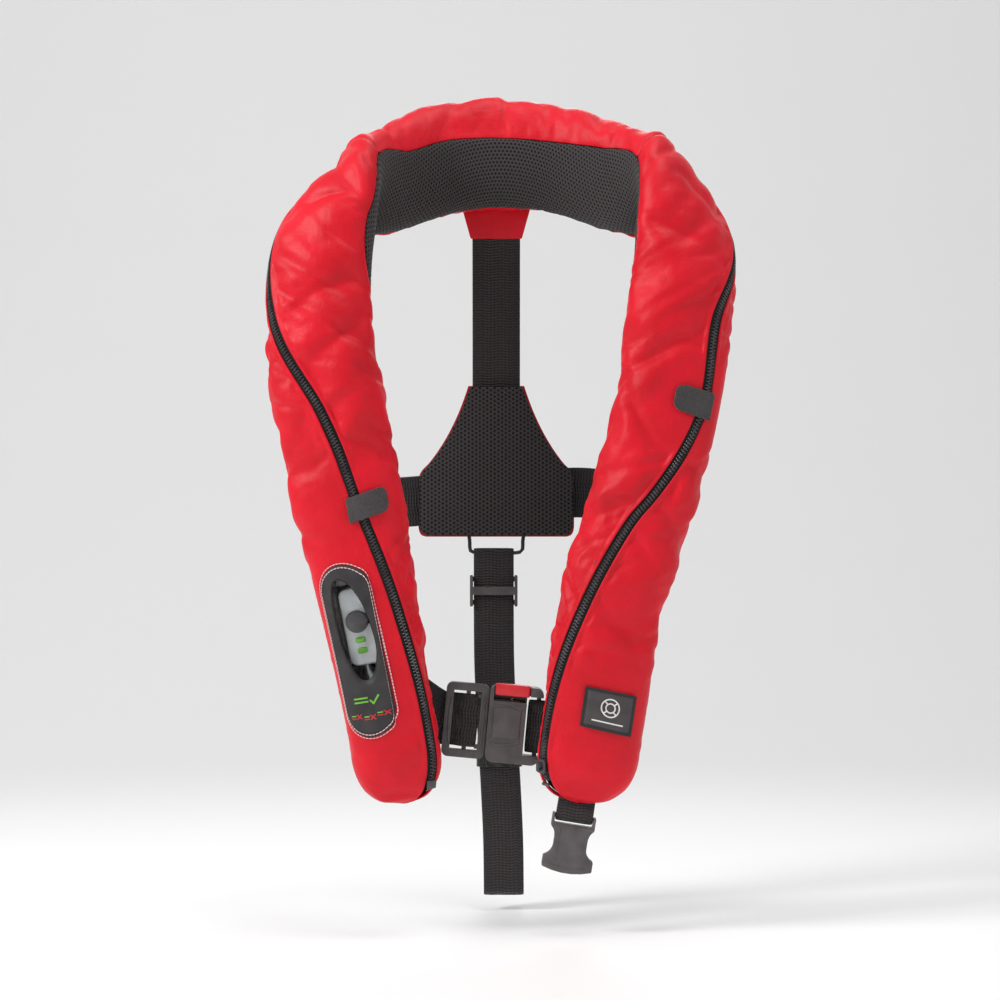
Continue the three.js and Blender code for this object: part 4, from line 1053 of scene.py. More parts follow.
# %% [markdown]
# ## Tape and teeth
# The tape is one narrow woven strip that follows the zip's line. The teeth are small rounded blocks
# set left and right in turn. An array along a curve would also do it; placing them in a loop lets
# the ones beside the slider sit lower, where the slider has to run over them.

# %% Zip tape and teeth
tape_rows = teeth_at[::3]


def tape_place(r, c):
    offset = (c / 8 - 0.5) * 15 * MM
    ridge = 0.25 * MM if c in (3, 5) else 0.0
    return zip_place(tape_rows[r], offset, -0.8 * MM - 1.1 * MM * (offset / (7.5 * MM)) ** 2 + ridge)


tape = object_from(grid(len(tape_rows) - 1, 8, tape_place), "zip_tape_woven", ZIP_TAPE)
shell = tape.modifiers.new("thickness", "SOLIDIFY")
shell.thickness = 0.5 * MM
shell.offset = 1.0
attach(tape, "jacket")
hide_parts("zip_tape")


def block(bm, size, matrix, bevel=0.0, segments=1):
    """Adds a bevelled block of that (x, y, z) size, placed by the matrix, and gives its vertices."""
    made = bmesh.ops.create_cube(bm, size=1.0)["verts"]
    bmesh.ops.scale(bm, vec=size, verts=made)
    if bevel:
        edges = list({edge for vertex in made for edge in vertex.link_edges})
        made = bmesh.ops.bevel(bm, geom=edges, offset=bevel, offset_type="OFFSET", segments=segments,
                               profile=0.5, affect="EDGES", material=-1)["verts"]
    bmesh.ops.transform(bm, matrix=matrix, verts=made)
    return made


def stand(origin, x, y, z):
    """A matrix whose columns are three directions and a place."""
    matrix = Matrix((x, y, z)).transposed().to_4x4()
    matrix.translation = origin
    return matrix


def zip_frame(s, offset, lift):
    """X towards the outer edge's other side, Y off the skin, Z along the zip."""
    here = zip_place(s, offset, lift)
    ahead = (zip_place(s + 0.02, offset, lift) - zip_place(s - 0.02, offset, lift)).normalized()
    off = normal_at(s, angle_at(s, length_at(s, zip_angle(s)) + offset))
    off = (off - ahead * off.dot(ahead)).normalized()
    return stand(here, ahead.cross(off).normalized() * -1, off, ahead)


def template(build):
    """A small mesh that is copied many times."""
    bm = bmesh.new()
    build(bm)
    mesh = bpy.data.meshes.new("template")
    bm.to_mesh(mesh)
    bm.free()
    return mesh


def strew(mesh, matrices):
    """One bmesh with a copy of the mesh at each matrix."""
    bm = bmesh.new()
    for matrix in matrices:
        before = len(bm.verts)
        bm.from_mesh(mesh)
        bm.verts.ensure_lookup_table()
        bmesh.ops.transform(bm, matrix=matrix, verts=bm.verts[before:])
    bmesh.ops.recalc_face_normals(bm, faces=bm.faces)
    return bm


def tooth_shape(bm):
    block(bm, Vector((3.0, 1.5, 1.15)) * MM, Matrix.Identity(4), 0.3 * MM)


tooth = template(tooth_shape)
tooth_places = [zip_frame(s, (0.75 if number % 2 else -0.75) * MM, 0.35 * MM)
                for number, s in enumerate(teeth_at)]
runner_low, runner_high = [Vector(corner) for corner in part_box("zip_slider")]
runner_middle = (runner_low + runner_high) / 2
RUNNER_REACH = 20 * MM
TOOTH_SINK = 0.9 * MM
for place in tooth_places:
    if (place.translation - runner_middle).length < RUNNER_REACH:
        place.translation -= place.to_3x3().col[1] * TOOTH_SINK
CHUNK = 120
teeth_parts = [strew(tooth, tooth_places[k:k + CHUNK]) for k in range(0, len(tooth_places), CHUNK)]
whole = bmesh.new()
for piece_bm in teeth_parts:
    part_mesh = bpy.data.meshes.new("teeth_part")
    piece_bm.to_mesh(part_mesh)
    piece_bm.free()
    whole.from_mesh(part_mesh)
teeth = object_from(whole, "zip_teeth_row", ZIP_PLASTIC)
teeth.data.shade_flat()
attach(teeth, "jacket")
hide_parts("zip_teeth")
print("teeth faces", len(teeth.data.polygons))

# %% [markdown]
# ## Webbing
# Webbing is a flat woven band with soft edges and ribs across it. A tube of flat section that is
# swept along the band's own path gives both faces and the rounded edges in one piece. The ribs are
# part of the shape, since they show at the outline. The UV map runs along and across in metres for
# the herringbone of the yarns.

# %% Sweep a band along a path
WEB = 1.8 * MM
RIB_PITCH = 2.2 * MM
RIB_HEIGHT = 0.24 * MM
BAND_SECTION = 14


def catmull(points, samples):
    """Points along a centripetal curve through the given ones, evenly spaced."""
    points = [Vector(point) for point in points]
    padded = [points[0] * 2 - points[1]] + points + [points[-1] * 2 - points[-2]]
    dense = []
    for a, b, c, d in zip(padded, padded[1:], padded[2:], padded[3:]):
        knots = [0.0]
        for one, two in ((a, b), (b, c), (c, d)):
            knots.append(knots[-1] + max(1e-6, (two - one).length) ** 0.5)
        for step in range(24):
            t = mix(knots[1], knots[2], step / 24)
            first = [one.lerp(two, (t - knots[k]) / (knots[k + 1] - knots[k]))
                     for k, (one, two) in enumerate(((a, b), (b, c), (c, d)))]
            second = [first[k].lerp(first[k + 1], (t - knots[k]) / (knots[k + 2] - knots[k])) for k in (0, 1)]
            dense.append(second[0].lerp(second[1], (t - knots[1]) / (knots[2] - knots[1])))
    dense.append(points[-1])
    run = [0.0]
    for one, two in zip(dense, dense[1:]):
        run.append(run[-1] + (two - one).length)
    even = []
    for k in range(samples + 1):
        at = run[-1] * k / samples
        i = min(len(run) - 2, max(0, bisect.bisect_right(run, at) - 1))
        even.append(dense[i].lerp(dense[i + 1], (at - run[i]) / max(1e-9, run[i + 1] - run[i])))
    return even, run[-1]


def band(path, width, side_at, ribs=True, thick=WEB, crown=0.0):
    """A bmesh of webbing along a path; side_at(point, tangent) is the direction of its width."""
    length = catmull(path, 2)[1]
    samples = max(12, round(length / RIB_PITCH) * 4) if ribs else max(12, round(length / (3 * MM)))
    line = catmull(path, samples)[0]

    def ring(r, c):
        tangent = (line[min(samples, r + 1)] - line[max(0, r - 1)]).normalized()
        side = side_at(line[r], tangent)
        side = (side - tangent * side.dot(tangent)).normalized()
        normal = tangent.cross(side)
        angle = 2 * math.pi * c / BAND_SECTION
        x = math.copysign(abs(math.cos(angle)) ** 0.35, math.cos(angle)) * (width / 2)
        y = math.copysign(abs(math.sin(angle)) ** 0.6, math.sin(angle)) * thick / 2
        rib = 1.0 - RIB_HEIGHT / thick * (1 - math.cos(2 * math.pi * r / 4)) if ribs else 1.0
        bow = crown * (1 - (2 * x / width) ** 2)
        return line[r] + side * x + normal * (y * rib + bow)

    def cloth_uv(r, c):
        angle = math.pi * (c / BAND_SECTION * 2)
        return length * r / samples, (1 - math.cos(angle)) / 2 * width

    bm = grid(samples, BAND_SECTION, ring, cloth_uv)
    bmesh.ops.remove_doubles(bm, verts=bm.verts, dist=0.01 * MM)
    ends = [edge for edge in bm.edges if edge.is_boundary]
    bmesh.ops.holes_fill(bm, edges=ends, sides=0)
    bmesh.ops.recalc_face_normals(bm, faces=bm.faces)
    return bm


def webbing(name, path, width, side_at, node, body="jacket", **shape):
    """Webbing as a finished piece in place of its CAD node."""
    piece = object_from(band(path, width, side_at, **shape), name, BLACK_WEBBING)
    if body:
        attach(piece, body)
    if node:
        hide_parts(node)
    return piece


RIGHT = Vector((1.0, 0.0, 0.0))
UP = Vector((0.0, 0.0, 1.0))


def rightwards(point, tangent):
    return RIGHT


def mm_path(*points):
    return [Vector(point) * MM for point in points]


# %% [markdown]
# ## Back tab and back strap
# A red nylon tab is sewn under the nape and carries the back strap down to the pad. The tab is a
# small grid with thickness, a little hollow in its middle as a loaded tab is. Its top reaches into
# the collar, where the real one is sewn in.

# %% Harness: back tab and back strap
GAP = 0.4 * MM
HARNESS_X = -3 * MM
BACK_Y = 18 * MM
TAB_BOTTOM = -22 * MM
BACK_STRAP_WIDTH = 38 * MM
BELT_WIDTH = 40 * MM
STRAP_WIDTH = 32 * MM


TAB_INTO_COLLAR = 3 * MM


def tab_place(r, c):
    """The red tab under the nape, widest at the top, a little hollow in its middle."""
    z = mix(TAB_BOTTOM, TAB_INTO_COLLAR, r / 10)
    half = mix(BACK_STRAP_WIDTH, 52 * MM, r / 10) / 2 + 1.4 * MM
    x = (c / 14 - 0.5) * 2 * half
    bow = 0.6 * MM * math.sin(math.pi * r / 10) + 0.5 * MM * noise.noise((x / 0.012, z / 0.01, 3.0))
    return Vector((HARNESS_X + x, 8 * MM - bow, z))


def flat_uv(width, height, rows, cols):
    return lambda r, c: (r / rows * height, c / cols * width)


tab_bm = grid(10, 14, tab_place, flat_uv(52 * MM, 22 * MM, 10, 14))
back_tab = object_from(tab_bm, "back_tab_nylon", RED_NYLON)
shell = back_tab.modifiers.new("thickness", "SOLIDIFY")
shell.thickness = 3.4 * MM
shell.offset = 0.0
soft_edge = back_tab.modifiers.new("edge", "BEVEL")
soft_edge.width = 0.9 * MM
soft_edge.segments = 2
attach(back_tab, "jacket")
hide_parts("back_tab")
back_path = mm_path((-3, 8, -20.5), (-3, 13, -60), (-3, 17.5, -110), (-3, 18, -148), (-3, 18, -172))
webbing("back_webbing", back_path, BACK_STRAP_WIDTH, rightwards, "back_strap")
print("back strap", round(catmull(back_path, 40)[1], 3), "m")

# %% [markdown]
# ## Waist belt
# The belt runs from the pad round the wearer's sides to the release buckle in front. It stands on
# edge there, and turns square to the buckle over its last stretch. The left half has to stretch
# when the buckle's halves part; here it rides on no body and is baked where it lies.

# %% Waist belt
BUCKLE = Vector((-5.5, -73.0, -400.0)) * MM
BUCKLE_TILT = math.radians(5.3)
BUCKLE_MATRIX = Matrix.Translation(BUCKLE) @ Matrix.Rotation(BUCKLE_TILT, 4, "Y")
BUCKLE_UP = BUCKLE_MATRIX.to_3x3() @ UP
SPLIT_X = -4 * MM
MALE_X = SPLIT_X - GAP - 16.5 * MM
END_BAR_X = SPLIT_X + 37.6 * MM
BELT_Y = -71.8
BELT_TURN = 3.4 / math.sqrt(2) + 0.5 + 0.9


def belt_side(straight):
    """The belt stands on edge round an oval waist, and square to the buckle near it."""
    middle_y = (BACK_Y + BELT_Y * MM) / 2

    def side(point, tangent):
        away = Vector((point.x / SPREAD ** 2, (point.y - middle_y) / (DEPTH * 0.42) ** 2, 0))
        upright = away.cross(tangent).normalized()
        upright = -upright if upright.z < 0 else upright
        share = smoothstep(abs(point.x), straight, straight + 26 * MM) if point.z < -0.348 else 1.0
        return upright.lerp(BUCKLE_UP, 1 - share)
    return side


def on_buckle(x0, places):
    return [BUCKLE_MATRIX @ Vector((x0 + x * MM, y * MM, 0)) for x, y in places]


left_path = mm_path((-3.4, 18, -228), (-40, 18, -229), (-68, 18, -231), (-86, 16, -233), (-112, 3, -243),
                    (-130, -24, -266), (-122, -54, -304), (-98, -68, -346), (-72, BELT_Y, -378))
left_path += on_buckle(MALE_X, [(-19, 1.6), (-10, 1.4), (-6, -0.6), (-3, -3.1), (0.5, -3.8), (5.6, -3.3),
                                (8.6, -0.4), (5.6, 3.2), (-6, 4.6), (-22, 5)])
right_path = mm_path((-2.6, 18, -228), (34, 18, -226), (62, 18, -224), (80, 16, -226), (100, 3, -236),
                     (113, -24, -262), (107, -54, -302), (90, -68, -348), (70, BELT_Y, -382))
turn = BELT_TURN
right_path += on_buckle(END_BAR_X, [(17, 4.2), (6, 4), (0, turn), (-4.6, 3.1), (-7.1, 0), (-4.6, -3.1),
                                    (0, -turn), (8, -4), (24, -2)])
belt_left = webbing("belt_left_webbing", left_path, BELT_WIDTH, belt_side(52 * MM), "belt_left", body=None)
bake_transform(belt_left)
webbing("belt_right_webbing", right_path, BELT_WIDTH, belt_side(50 * MM), "belt_right")
print("belts", round(catmull(left_path, 40)[1], 3), round(catmull(right_path, 40)[1], 3), "m")

# %% [markdown]
# ## The crotch strap
# This strap is the one free cord. It turns round the ring in the pad's hem, runs down through its
# ladder slider, folds at its foot and comes back up to its plug. Its points are the CAD route's own.

# %% Crotch strap
PAD_BOTTOM = -258
RING_LOW_Z = PAD_BOTTOM - 14
LOOP_RADIUS = 1.5 + 0.5 + 0.9
STRAP_BOTTOM = RING_LOW_Z - 274
FOLD_RADIUS = 8
PLUG_Z = -430
SEWN_Z = RING_LOW_Z - 16
FRONT_Y = 18 - LOOP_RADIUS
RETURN_Y = FRONT_Y + 2 * FOLD_RADIUS


def strap_x(z):
    return -5 + 8 * smoothstep(RING_LOW_Z - z, 60, 260)


strap_points = [(strap_x(SEWN_Z), FRONT_Y + 2.2, SEWN_Z)]
for degrees in (-20, 20, 60, 90, 120, 160, 200):
    turn = math.radians(degrees)
    strap_points.append((strap_x(RING_LOW_Z), 18 + LOOP_RADIUS * math.cos(turn),
                         RING_LOW_Z + LOOP_RADIUS * math.sin(turn)))
for fall in (14, 40, 90, 140, 190, 230):
    strap_points.append((strap_x(RING_LOW_Z - fall), FRONT_Y, RING_LOW_Z - fall))
for degrees in (180, 225, 270, 315, 360):
    turn = math.radians(degrees)
    z = STRAP_BOTTOM + FOLD_RADIUS + FOLD_RADIUS * math.sin(turn)
    strap_points.append((strap_x(z), FRONT_Y + FOLD_RADIUS + FOLD_RADIUS * math.cos(turn), z))
for rise in (50, 90):
    strap_points.append((strap_x(STRAP_BOTTOM + rise), RETURN_Y, STRAP_BOTTOM + rise))
strap_points.append((strap_x(PLUG_Z), RETURN_Y, PLUG_Z))
strap_path = mm_path(*strap_points)
strap_line, strap_length = catmull(strap_path, 60)
crotch_strap = webbing("crotch_webbing", strap_path, STRAP_WIDTH, rightwards, "crotch_strap", "strap_run")
print("crotch strap", round(strap_length, 4), "m")

# %% [markdown]
# ## Hard parts
# The CAD solids already have the right sizes, but their edges are knife sharp and their faces plain.
# Moulded edges are always rounded, because a mould can't make them sharp. So each hard part starts
# as a copy of its CAD node: doubles are merged, flat triangles are dissolved into faces, and a bevel
# rounds every real edge. Details such as ribs and raised panels are then added to the same piece.


# %% Round a CAD part's edges
def softened(node, name, material, bevel, body="jacket", angle=28, details=None, segments=3):
    """A copy of a hard CAD node with rounded edges, and more shapes from details(bm)."""
    bm = bmesh.new()
    bm.from_mesh(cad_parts[node].data)
    bmesh.ops.remove_doubles(bm, verts=bm.verts, dist=0.01 * MM)
    bmesh.ops.dissolve_limit(bm, angle_limit=math.radians(1.5), verts=bm.verts, edges=bm.edges)
    bmesh.ops.recalc_face_normals(bm, faces=bm.faces)
    sharp = [edge for edge in bm.edges
             if edge.is_manifold and edge.calc_face_angle(0.0) > math.radians(angle)]
    bmesh.ops.bevel(bm, geom=sharp, offset=bevel, offset_type="OFFSET", segments=segments, profile=0.5,
                    affect="EDGES", clamp_overlap=True, material=-1)
    if details:
        details(bm)
    bmesh.ops.triangulate(bm, faces=[face for face in bm.faces if len(face.verts) > 4])
    piece = object_from(bm, name, material)
    piece.data.set_sharp_from_angle(angle=math.radians(32))
    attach(piece, body)
    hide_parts(node)
    return piece


def bar(bm, points, radius, matrix=Matrix.Identity(4), sides=8, flat=1.0):
    """A round rib along a line of points, closed at its ends; `flat` squeezes its height."""
    line, _ = catmull(points, max(6, len(points) * 5))
    last = len(line) - 1
    rings = []
    for k, point in enumerate(line):
        tangent = (line[min(last, k + 1)] - line[max(0, k - 1)]).normalized()
        side = tangent.cross(Vector((0.0, 1.0, 0.0))).normalized()
        up = side.cross(tangent).normalized()
        close = 0.45 if k in (0, last) else 1.0
        disc = bmesh.ops.create_circle(bm, cap_ends=k in (0, last), radius=radius * close, segments=sides)
        frame_here = stand(matrix @ point, matrix.to_3x3() @ side, matrix.to_3x3() @ up * flat,
                           matrix.to_3x3() @ tangent)
        bmesh.ops.transform(bm, matrix=frame_here, verts=disc["verts"])
        rings.append({edge for vertex in disc["verts"] for edge in vertex.link_edges})
    for first, second in zip(rings, rings[1:]):
        bmesh.ops.bridge_loops(bm, edges=list(first | second))
    return rings


def housing_details(bm):
    """The raised field between two arcs on the housing's front, and a lip at the split."""
    front = -9.5 * MM
    left_x, right_x = SPLIT_X + 3.2 * MM, SPLIT_X + 25.5 * MM
    for z, bow in ((12.0, 4.0), (-12.5, -3.2)):
        arc = [Vector((mix(left_x, right_x, k / 8), front,
                       (z + bow * math.sin(math.pi * (0.28 + 0.72 * k / 8))) * MM)) for k in range(9)]
        bar(bm, arc, 1.05 * MM, BUCKLE_MATRIX, flat=0.75)
    edge = [Vector((left_x - 0.8 * MM, front, z * MM)) for z in (12.4, 6, 0, -6, -13)]
    bar(bm, edge, 0.9 * MM, BUCKLE_MATRIX, flat=0.7)
    plate_middle = BUCKLE_MATRIX @ Vector(((left_x + right_x) / 2, front + 0.1 * MM, 0.8 * MM))
    tilt = Matrix.Rotation(BUCKLE_TILT, 4, "Y")
    block(bm, Vector((21.0, 1.6, 23.0)) * MM, Matrix.Translation(plate_middle) @ tilt, 0.6 * MM, 2)


def male_details(bm):
    """Rims round the belt slot and the small catches at its corners."""
    front = -4.5 * MM
    x0, x1 = MALE_X - 11.5 * MM, MALE_X + 11.8 * MM
    rim = [(x0, 18), (x0 - 1.2 * MM, 0), (x0, -18)]
    bar(bm, [Vector((x, front, z * MM)) for x, z in rim], 1.1 * MM, BUCKLE_MATRIX, flat=0.8)
    rim = [(x1 + 1.4 * MM, 21), (x1 + 1.4 * MM, 0), (x1 + 1.4 * MM, -21)]
    bar(bm, [Vector((x, front, z * MM)) for x, z in rim], 1.1 * MM, BUCKLE_MATRIX, flat=0.8)
    for z in (19.5, -19.5):
        place = BUCKLE_MATRIX @ Vector((x1 - 1.6 * MM, 0, z * MM))
        block(bm, Vector((4.5, 6.0, 3.2)) * MM, Matrix.Translation(place), 0.8 * MM, 2)


softened("buckle_male", "buckle_frame", GREY_PLASTIC, 1.3 * MM, "buckle_tongue",
         details=male_details)
softened("buckle_housing", "buckle_body", GREY_PLASTIC, 1.5 * MM, details=housing_details)
softened("buckle_button", "buckle_press", RED_PLASTIC, 1.2 * MM, "release_button")
softened("strap_slider", "ladder_buckle", GREY_PLASTIC, 0.7 * MM, "ladder")
softened("crotch_plug", "strap_plug", GREY_PLASTIC, 0.8 * MM, "plug")


def socket_matrix():
    tip = spine(LAST)
    place = Vector((tip.x - 5 * MM, tip.y, tip.z - 9.5 * MM))
    return Matrix.Translation(place) @ Matrix.Rotation(math.radians(9), 4, "Y")


def socket_details(bm):
    """Two upright ribs on the socket's front and a curved rib over its waist."""
    at = socket_matrix()
    front = -5.5 * MM
    for x in (-9.5, 9.5):
        rib = [Vector((x * MM, front, z * MM)) for z in (-9.0, -16, -24, -32)]
        bar(bm, rib, 0.5 * MM, at, sides=6, flat=0.7)
    rib = [Vector((x * MM, front, (-38 - 2.6 * (1 - (x / 15) ** 2)) * MM)) for x in (-15, -8, 0, 8, 15)]
    bar(bm, rib, 0.6 * MM, at, sides=6, flat=0.7)


softened("crotch_socket", "strap_socket", GREY_PLASTIC, 1.0 * MM, "socket",
         details=socket_details)
softened("strap_ring", "hem_wire", RING_STEEL, 0.2 * MM, "hem_ring", angle=60)
softened("inflator_body", "inflator_case", WHITE_PLASTIC, 1.6 * MM)
softened("inflator_cap", "inflator_knob", GREY_PLASTIC, 0.9 * MM)
for part_name in ("upper", "lower"):
    softened(f"inflator_indicator_{part_name}", f"indicator_{part_name}", GREEN_PLASTIC,
             0.4 * MM)
softened("zip_slider", "zip_runner_body", ZIP_PLASTIC, 0.35 * MM, "zip_runner")
softened("zip_end_stop", "zip_stop", ZIP_PLASTIC, 0.4 * MM)
softened("zip_start_box", "zip_box", ZIP_PLASTIC, 0.5 * MM)
softened("gas_cylinder", "gas_bottle", BRIGHT_STEEL, 0.3 * MM, angle=40)
softened("oral_tube", "oral_hose", TUBE_RUBBER, 0.8 * MM, angle=40)
softened("oral_valve_cap", "valve_cap", RED_PLASTIC, 0.8 * MM, angle=40)
softened("whistle", "whistle_body", RED_PLASTIC, 1.0 * MM)
press_spring = softened("button_spring", "press_spring", BRIGHT_STEEL, 0.02 * MM, angle=70,
                        segments=1)
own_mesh(press_spring)
print("hard parts done")

# %% [markdown]
# ## Socket loop and keeper
# A short loop of webbing carries the crotch socket from the right lobe, and its ends are tucked
# into the lobe. The keeper is a ring of elastic that holds the folded strap together, swept round
# both runs as a rounded rectangle.

# %% Socket loop and strap keeper
bar_size = 3.2
hang = bar_size / math.sqrt(2) + 0.4 + 0.9
RISE = 8.2
INTO_LOBE = 7
loop_points = [(0, -1.6, RISE + INTO_LOBE), (0, -1.6, RISE), (0, -hang, RISE / 2.4)]
for degrees in (180, 225, 270, 315, 360):
    turn = math.radians(degrees)
    loop_points.append((0, hang * math.cos(turn), hang * math.sin(turn) - bar_size / 2))
loop_points += [(0, hang, RISE / 2.4), (0, 1.6, RISE), (0, 1.6, RISE + INTO_LOBE)]
loop_path = [socket_matrix() @ (Vector(point) * MM) for point in loop_points]
SOCKET_RIGHT = socket_matrix().to_3x3() @ RIGHT
webbing("socket_webbing", loop_path, 28 * MM, lambda point, tangent: SOCKET_RIGHT, "crotch_socket_loop")

KEEPER_Z = PLUG_Z - 9
keeper_half = (STRAP_WIDTH / MM / 2 + 1.4, FOLD_RADIUS + 1.9)


def keeper_point(share):
    """A point of the elastic keeper's loop round both runs of the strap."""
    turn = 2 * math.pi * share
    c, n = math.cos(turn), math.sin(turn)
    x = math.copysign(abs(c) ** 0.28, c) * keeper_half[0]
    y = math.copysign(abs(n) ** 0.28, n) * keeper_half[1]
    return (strap_x(KEEPER_Z) + x, FRONT_Y + FOLD_RADIUS + y, KEEPER_Z)


keeper_bm = grid(64, 8, lambda r, c: Vector(keeper_point(r / 64)) * MM + UP * (c / 8 - 0.5) * 8 * MM,
                 lambda r, c: (r / 64 * 0.1, c * MM))
bmesh.ops.remove_doubles(keeper_bm, verts=keeper_bm.verts, dist=0.01 * MM)
bmesh.ops.recalc_face_normals(keeper_bm, faces=keeper_bm.faces)
keeper = object_from(keeper_bm, "elastic_keeper", BLACK_WEBBING)
shell = keeper.modifiers.new("thickness", "SOLIDIFY")
shell.thickness = 1.1 * MM
shell.offset = 0.4
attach(keeper, "strap_run")
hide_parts("strap_keeper")

# %% [markdown]
# ## The back pad
# The pad is a sewn sandwich: spacer mesh on the wearer's side, foam, and a red backing whose edge
# shows as a thin line. Its outline is straight at the foot and bell shaped above. We measure the
# outline's half width at each height and map a grid into it, so the faces follow the edge, then
# crown the middle as foam does and press the rim flat where it is stitched.

# %% Pad outline
PAD_TOP = -140
PAD_HEIGHT = 118
PAD_SHOULDER = PAD_TOP - PAD_HEIGHT * 0.57
PAD_WIDE = 61
PAD_NECK = 21
PAD_CORNER = 8


def quadratic(a, b, c, count):
    return [((1 - t) ** 2 * a[0] + 2 * t * (1 - t) * b[0] + t * t * c[0],
             (1 - t) ** 2 * a[1] + 2 * t * (1 - t) * b[1] + t * t * c[1])
            for t in (k / count for k in range(count + 1))]


def pad_side(grow):
    """Points of the pad's right side from foot to top, as (half width, height) in millimetres."""
    wide, neck, foot = PAD_WIDE + grow, PAD_NECK + grow, PAD_BOTTOM - grow
    bend_end = (wide - 7, PAD_SHOULDER + 5)
    side = quadratic((wide - 6, foot), (wide, foot), (wide, PAD_BOTTOM + PAD_CORNER), 8)
    side += quadratic((wide, PAD_SHOULDER - PAD_CORNER), (wide, PAD_SHOULDER), bend_end, 8)
    side += quadratic(bend_end, (neck + 12, PAD_SHOULDER + 30), (neck, PAD_TOP + grow), 14)
    return side


def half_width(side, z):
    for (x0, z0), (x1, z1) in zip(side, side[1:]):
        if z0 <= z <= z1 and z1 > z0:
            return mix(x0, x1, (z - z0) / (z1 - z0))
    return side[0][0] if z < side[0][1] else side[-1][0]


def pad_layer(name, grow, front_y, back_y, crown, material, node, wrinkle=0.0):
    """One layer of the pad as a closed crowned form between two planes."""
    side = pad_side(grow)
    low, high = side[0][1], side[-1][1]
    rows, cols = 62, 60
    middle = (front_y + back_y) / 2

    def place(r, c):
        lean = 0.5 - 0.5 * math.cos(math.pi * min(1.0, max(0.0, r / rows)))
        z = mix(low, high, mix(r / rows, lean, 0.5))
        half = half_width(side, z)
        turn = 2 * math.pi * c / cols
        x = math.copysign(abs(math.cos(turn)) ** 0.55, math.cos(turn))
        rim = min((1 - abs(x)) * half, z - low, high - z)
        full = smoothstep(rim, -1.0, 5.0)
        front = math.sin(turn) < 0
        swell = crown * smoothstep(rim, 2.0, 26.0) if front else 0.0
        puff = wrinkle * noise.noise((x * half / 22, z / 16, 5.0)) * full if front else 0.0
        y = mix(middle, (front_y if front else back_y), 0.35 + 0.65 * full)
        if c in (0, cols // 2, cols):
            y = middle
        return Vector((HARNESS_X / MM + x * half, y - swell + puff, z)) * MM

    def cloth_uv(r, c):
        spot = place(r, c)
        return spot.z, spot.x + (0.2 if c > cols // 2 else 0.0)

    bm = grid(rows, cols, place, cloth_uv)
    bmesh.ops.remove_doubles(bm, verts=bm.verts, dist=0.01 * MM)
    ends = [edge for edge in bm.edges if edge.is_boundary]
    bmesh.ops.holes_fill(bm, edges=ends, sides=0)
    bmesh.ops.triangulate(bm, faces=[face for face in bm.faces if len(face.verts) > 4])
    bmesh.ops.recalc_face_normals(bm, faces=bm.faces)
    piece = object_from(bm, name, material)
    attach(piece, "jacket")
    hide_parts(node)
    return piece


pad_layer("pad_mesh_layer", 0.0, 7.7, 10.6, 1.6, SPACER_MESH, "back_pad_mesh", 0.5)
pad_layer("pad_foam_layer", -1.5, 11.2, 16.0, 0.0, FOAM, "back_pad_foam")
pad_layer("pad_red_layer", 1.4, 19.9, 21.3, 0.0, RED_BACKING, "back_pad_backing")
print("pad done")

# %% [markdown]
# ## Things sewn on the cover
# The window's printed plate, the two grip tabs and the maker's patch all lie on the curved cover.
# Each is modelled flat in its own millimetres, where it is easy to draw, and then laid on the skin:
# across becomes the way round the section, up becomes the way along the lobe.


# %% Lay flat work on the cover
def lay(bm, s0, angle0, slant=0.0):
    """Moves each vertex from flat (x right, y lift, z up) in metres onto the cover."""
    right = s0 > NAPE_AT
    for vertex in bm.verts:
        x, lift, z = vertex.co
        p = x if right else -x
        s = along_by(s0, (-1 if right else 1) * (z - slant * p))
        vertex.co = cover_point(s, round_by(s, angle0, p, 3), lift)
    bmesh.ops.recalc_face_normals(bm, faces=bm.faces)
    return bm


def stadium_point(half, length, share):
    """A point on a stadium outline at a share of the way round from its right side's top."""
    straight = length - 2 * half
    arc = math.pi * half
    at = share % 1.0 * (2 * straight + 2 * arc)
    lower = at >= arc + straight
    at -= (arc + straight) * lower
    side = -1 if lower else 1
    if at < arc:
        return (side * half * math.cos(at / half), side * (straight / 2 + half * math.sin(at / half)))
    return (-side * half, side * (straight / 2 - (at - arc)))


VIEW_RISE = 17 * MM
"""The clear window sits this far above the plate's middle."""


def view_point(share):
    """The clear window's boat-shaped outline, bulging to the inner side, in metres."""
    turn = 2 * math.pi * share
    x = math.cos(turn)
    z = math.sin(turn)
    bulge = 1.0 + 0.1 * x - 0.16 * z * z
    lean = -3.0 * MM * z
    return (VIEW_HALF * math.copysign(abs(x) ** 0.86, x) * bulge + lean + 0.6 * MM,
            VIEW_LENGTH / 2 * math.copysign(abs(z) ** 0.8, z) + VIEW_RISE)


PLATE_LIFT = 1.1 * MM
"""How far the printed plate stands off the skin."""


def plate_edge(share):
    """The plate's stadium outline, counted from its right side round over its top."""
    straight = PLATE_LENGTH - 2 * PLATE_HALF
    whole = 2 * straight + 2 * math.pi * PLATE_HALF
    return stadium_point(PLATE_HALF, PLATE_LENGTH, share - straight / 2 / whole)


def plate_form(bm):
    """The plate between its outer stadium and the window's edge, with rounded rims."""
    count, rings = 112, 9
    made = []
    for k in range(rings):
        share = k / (rings - 1)
        rim = min(share, 1 - share)
        lift = PLATE_LIFT + 1.1 * MM * min(1.0, rim * 9) ** 0.5
        lift += 0.35 * MM * math.exp(-((share - 0.14) / 0.07) ** 2)
        ring = []
        for step in range(count):
            inner, outer = view_point(step / count), plate_edge(step / count)
            ring.append(bm.verts.new((mix(inner[0], outer[0], share), lift, mix(inner[1], outer[1], share))))
        made.append(ring)
    for ring, after in zip(made, made[1:]):
        for step in range(count):
            following = (step + 1) % count
            bm.faces.new((ring[step], after[step], after[following], ring[following]))


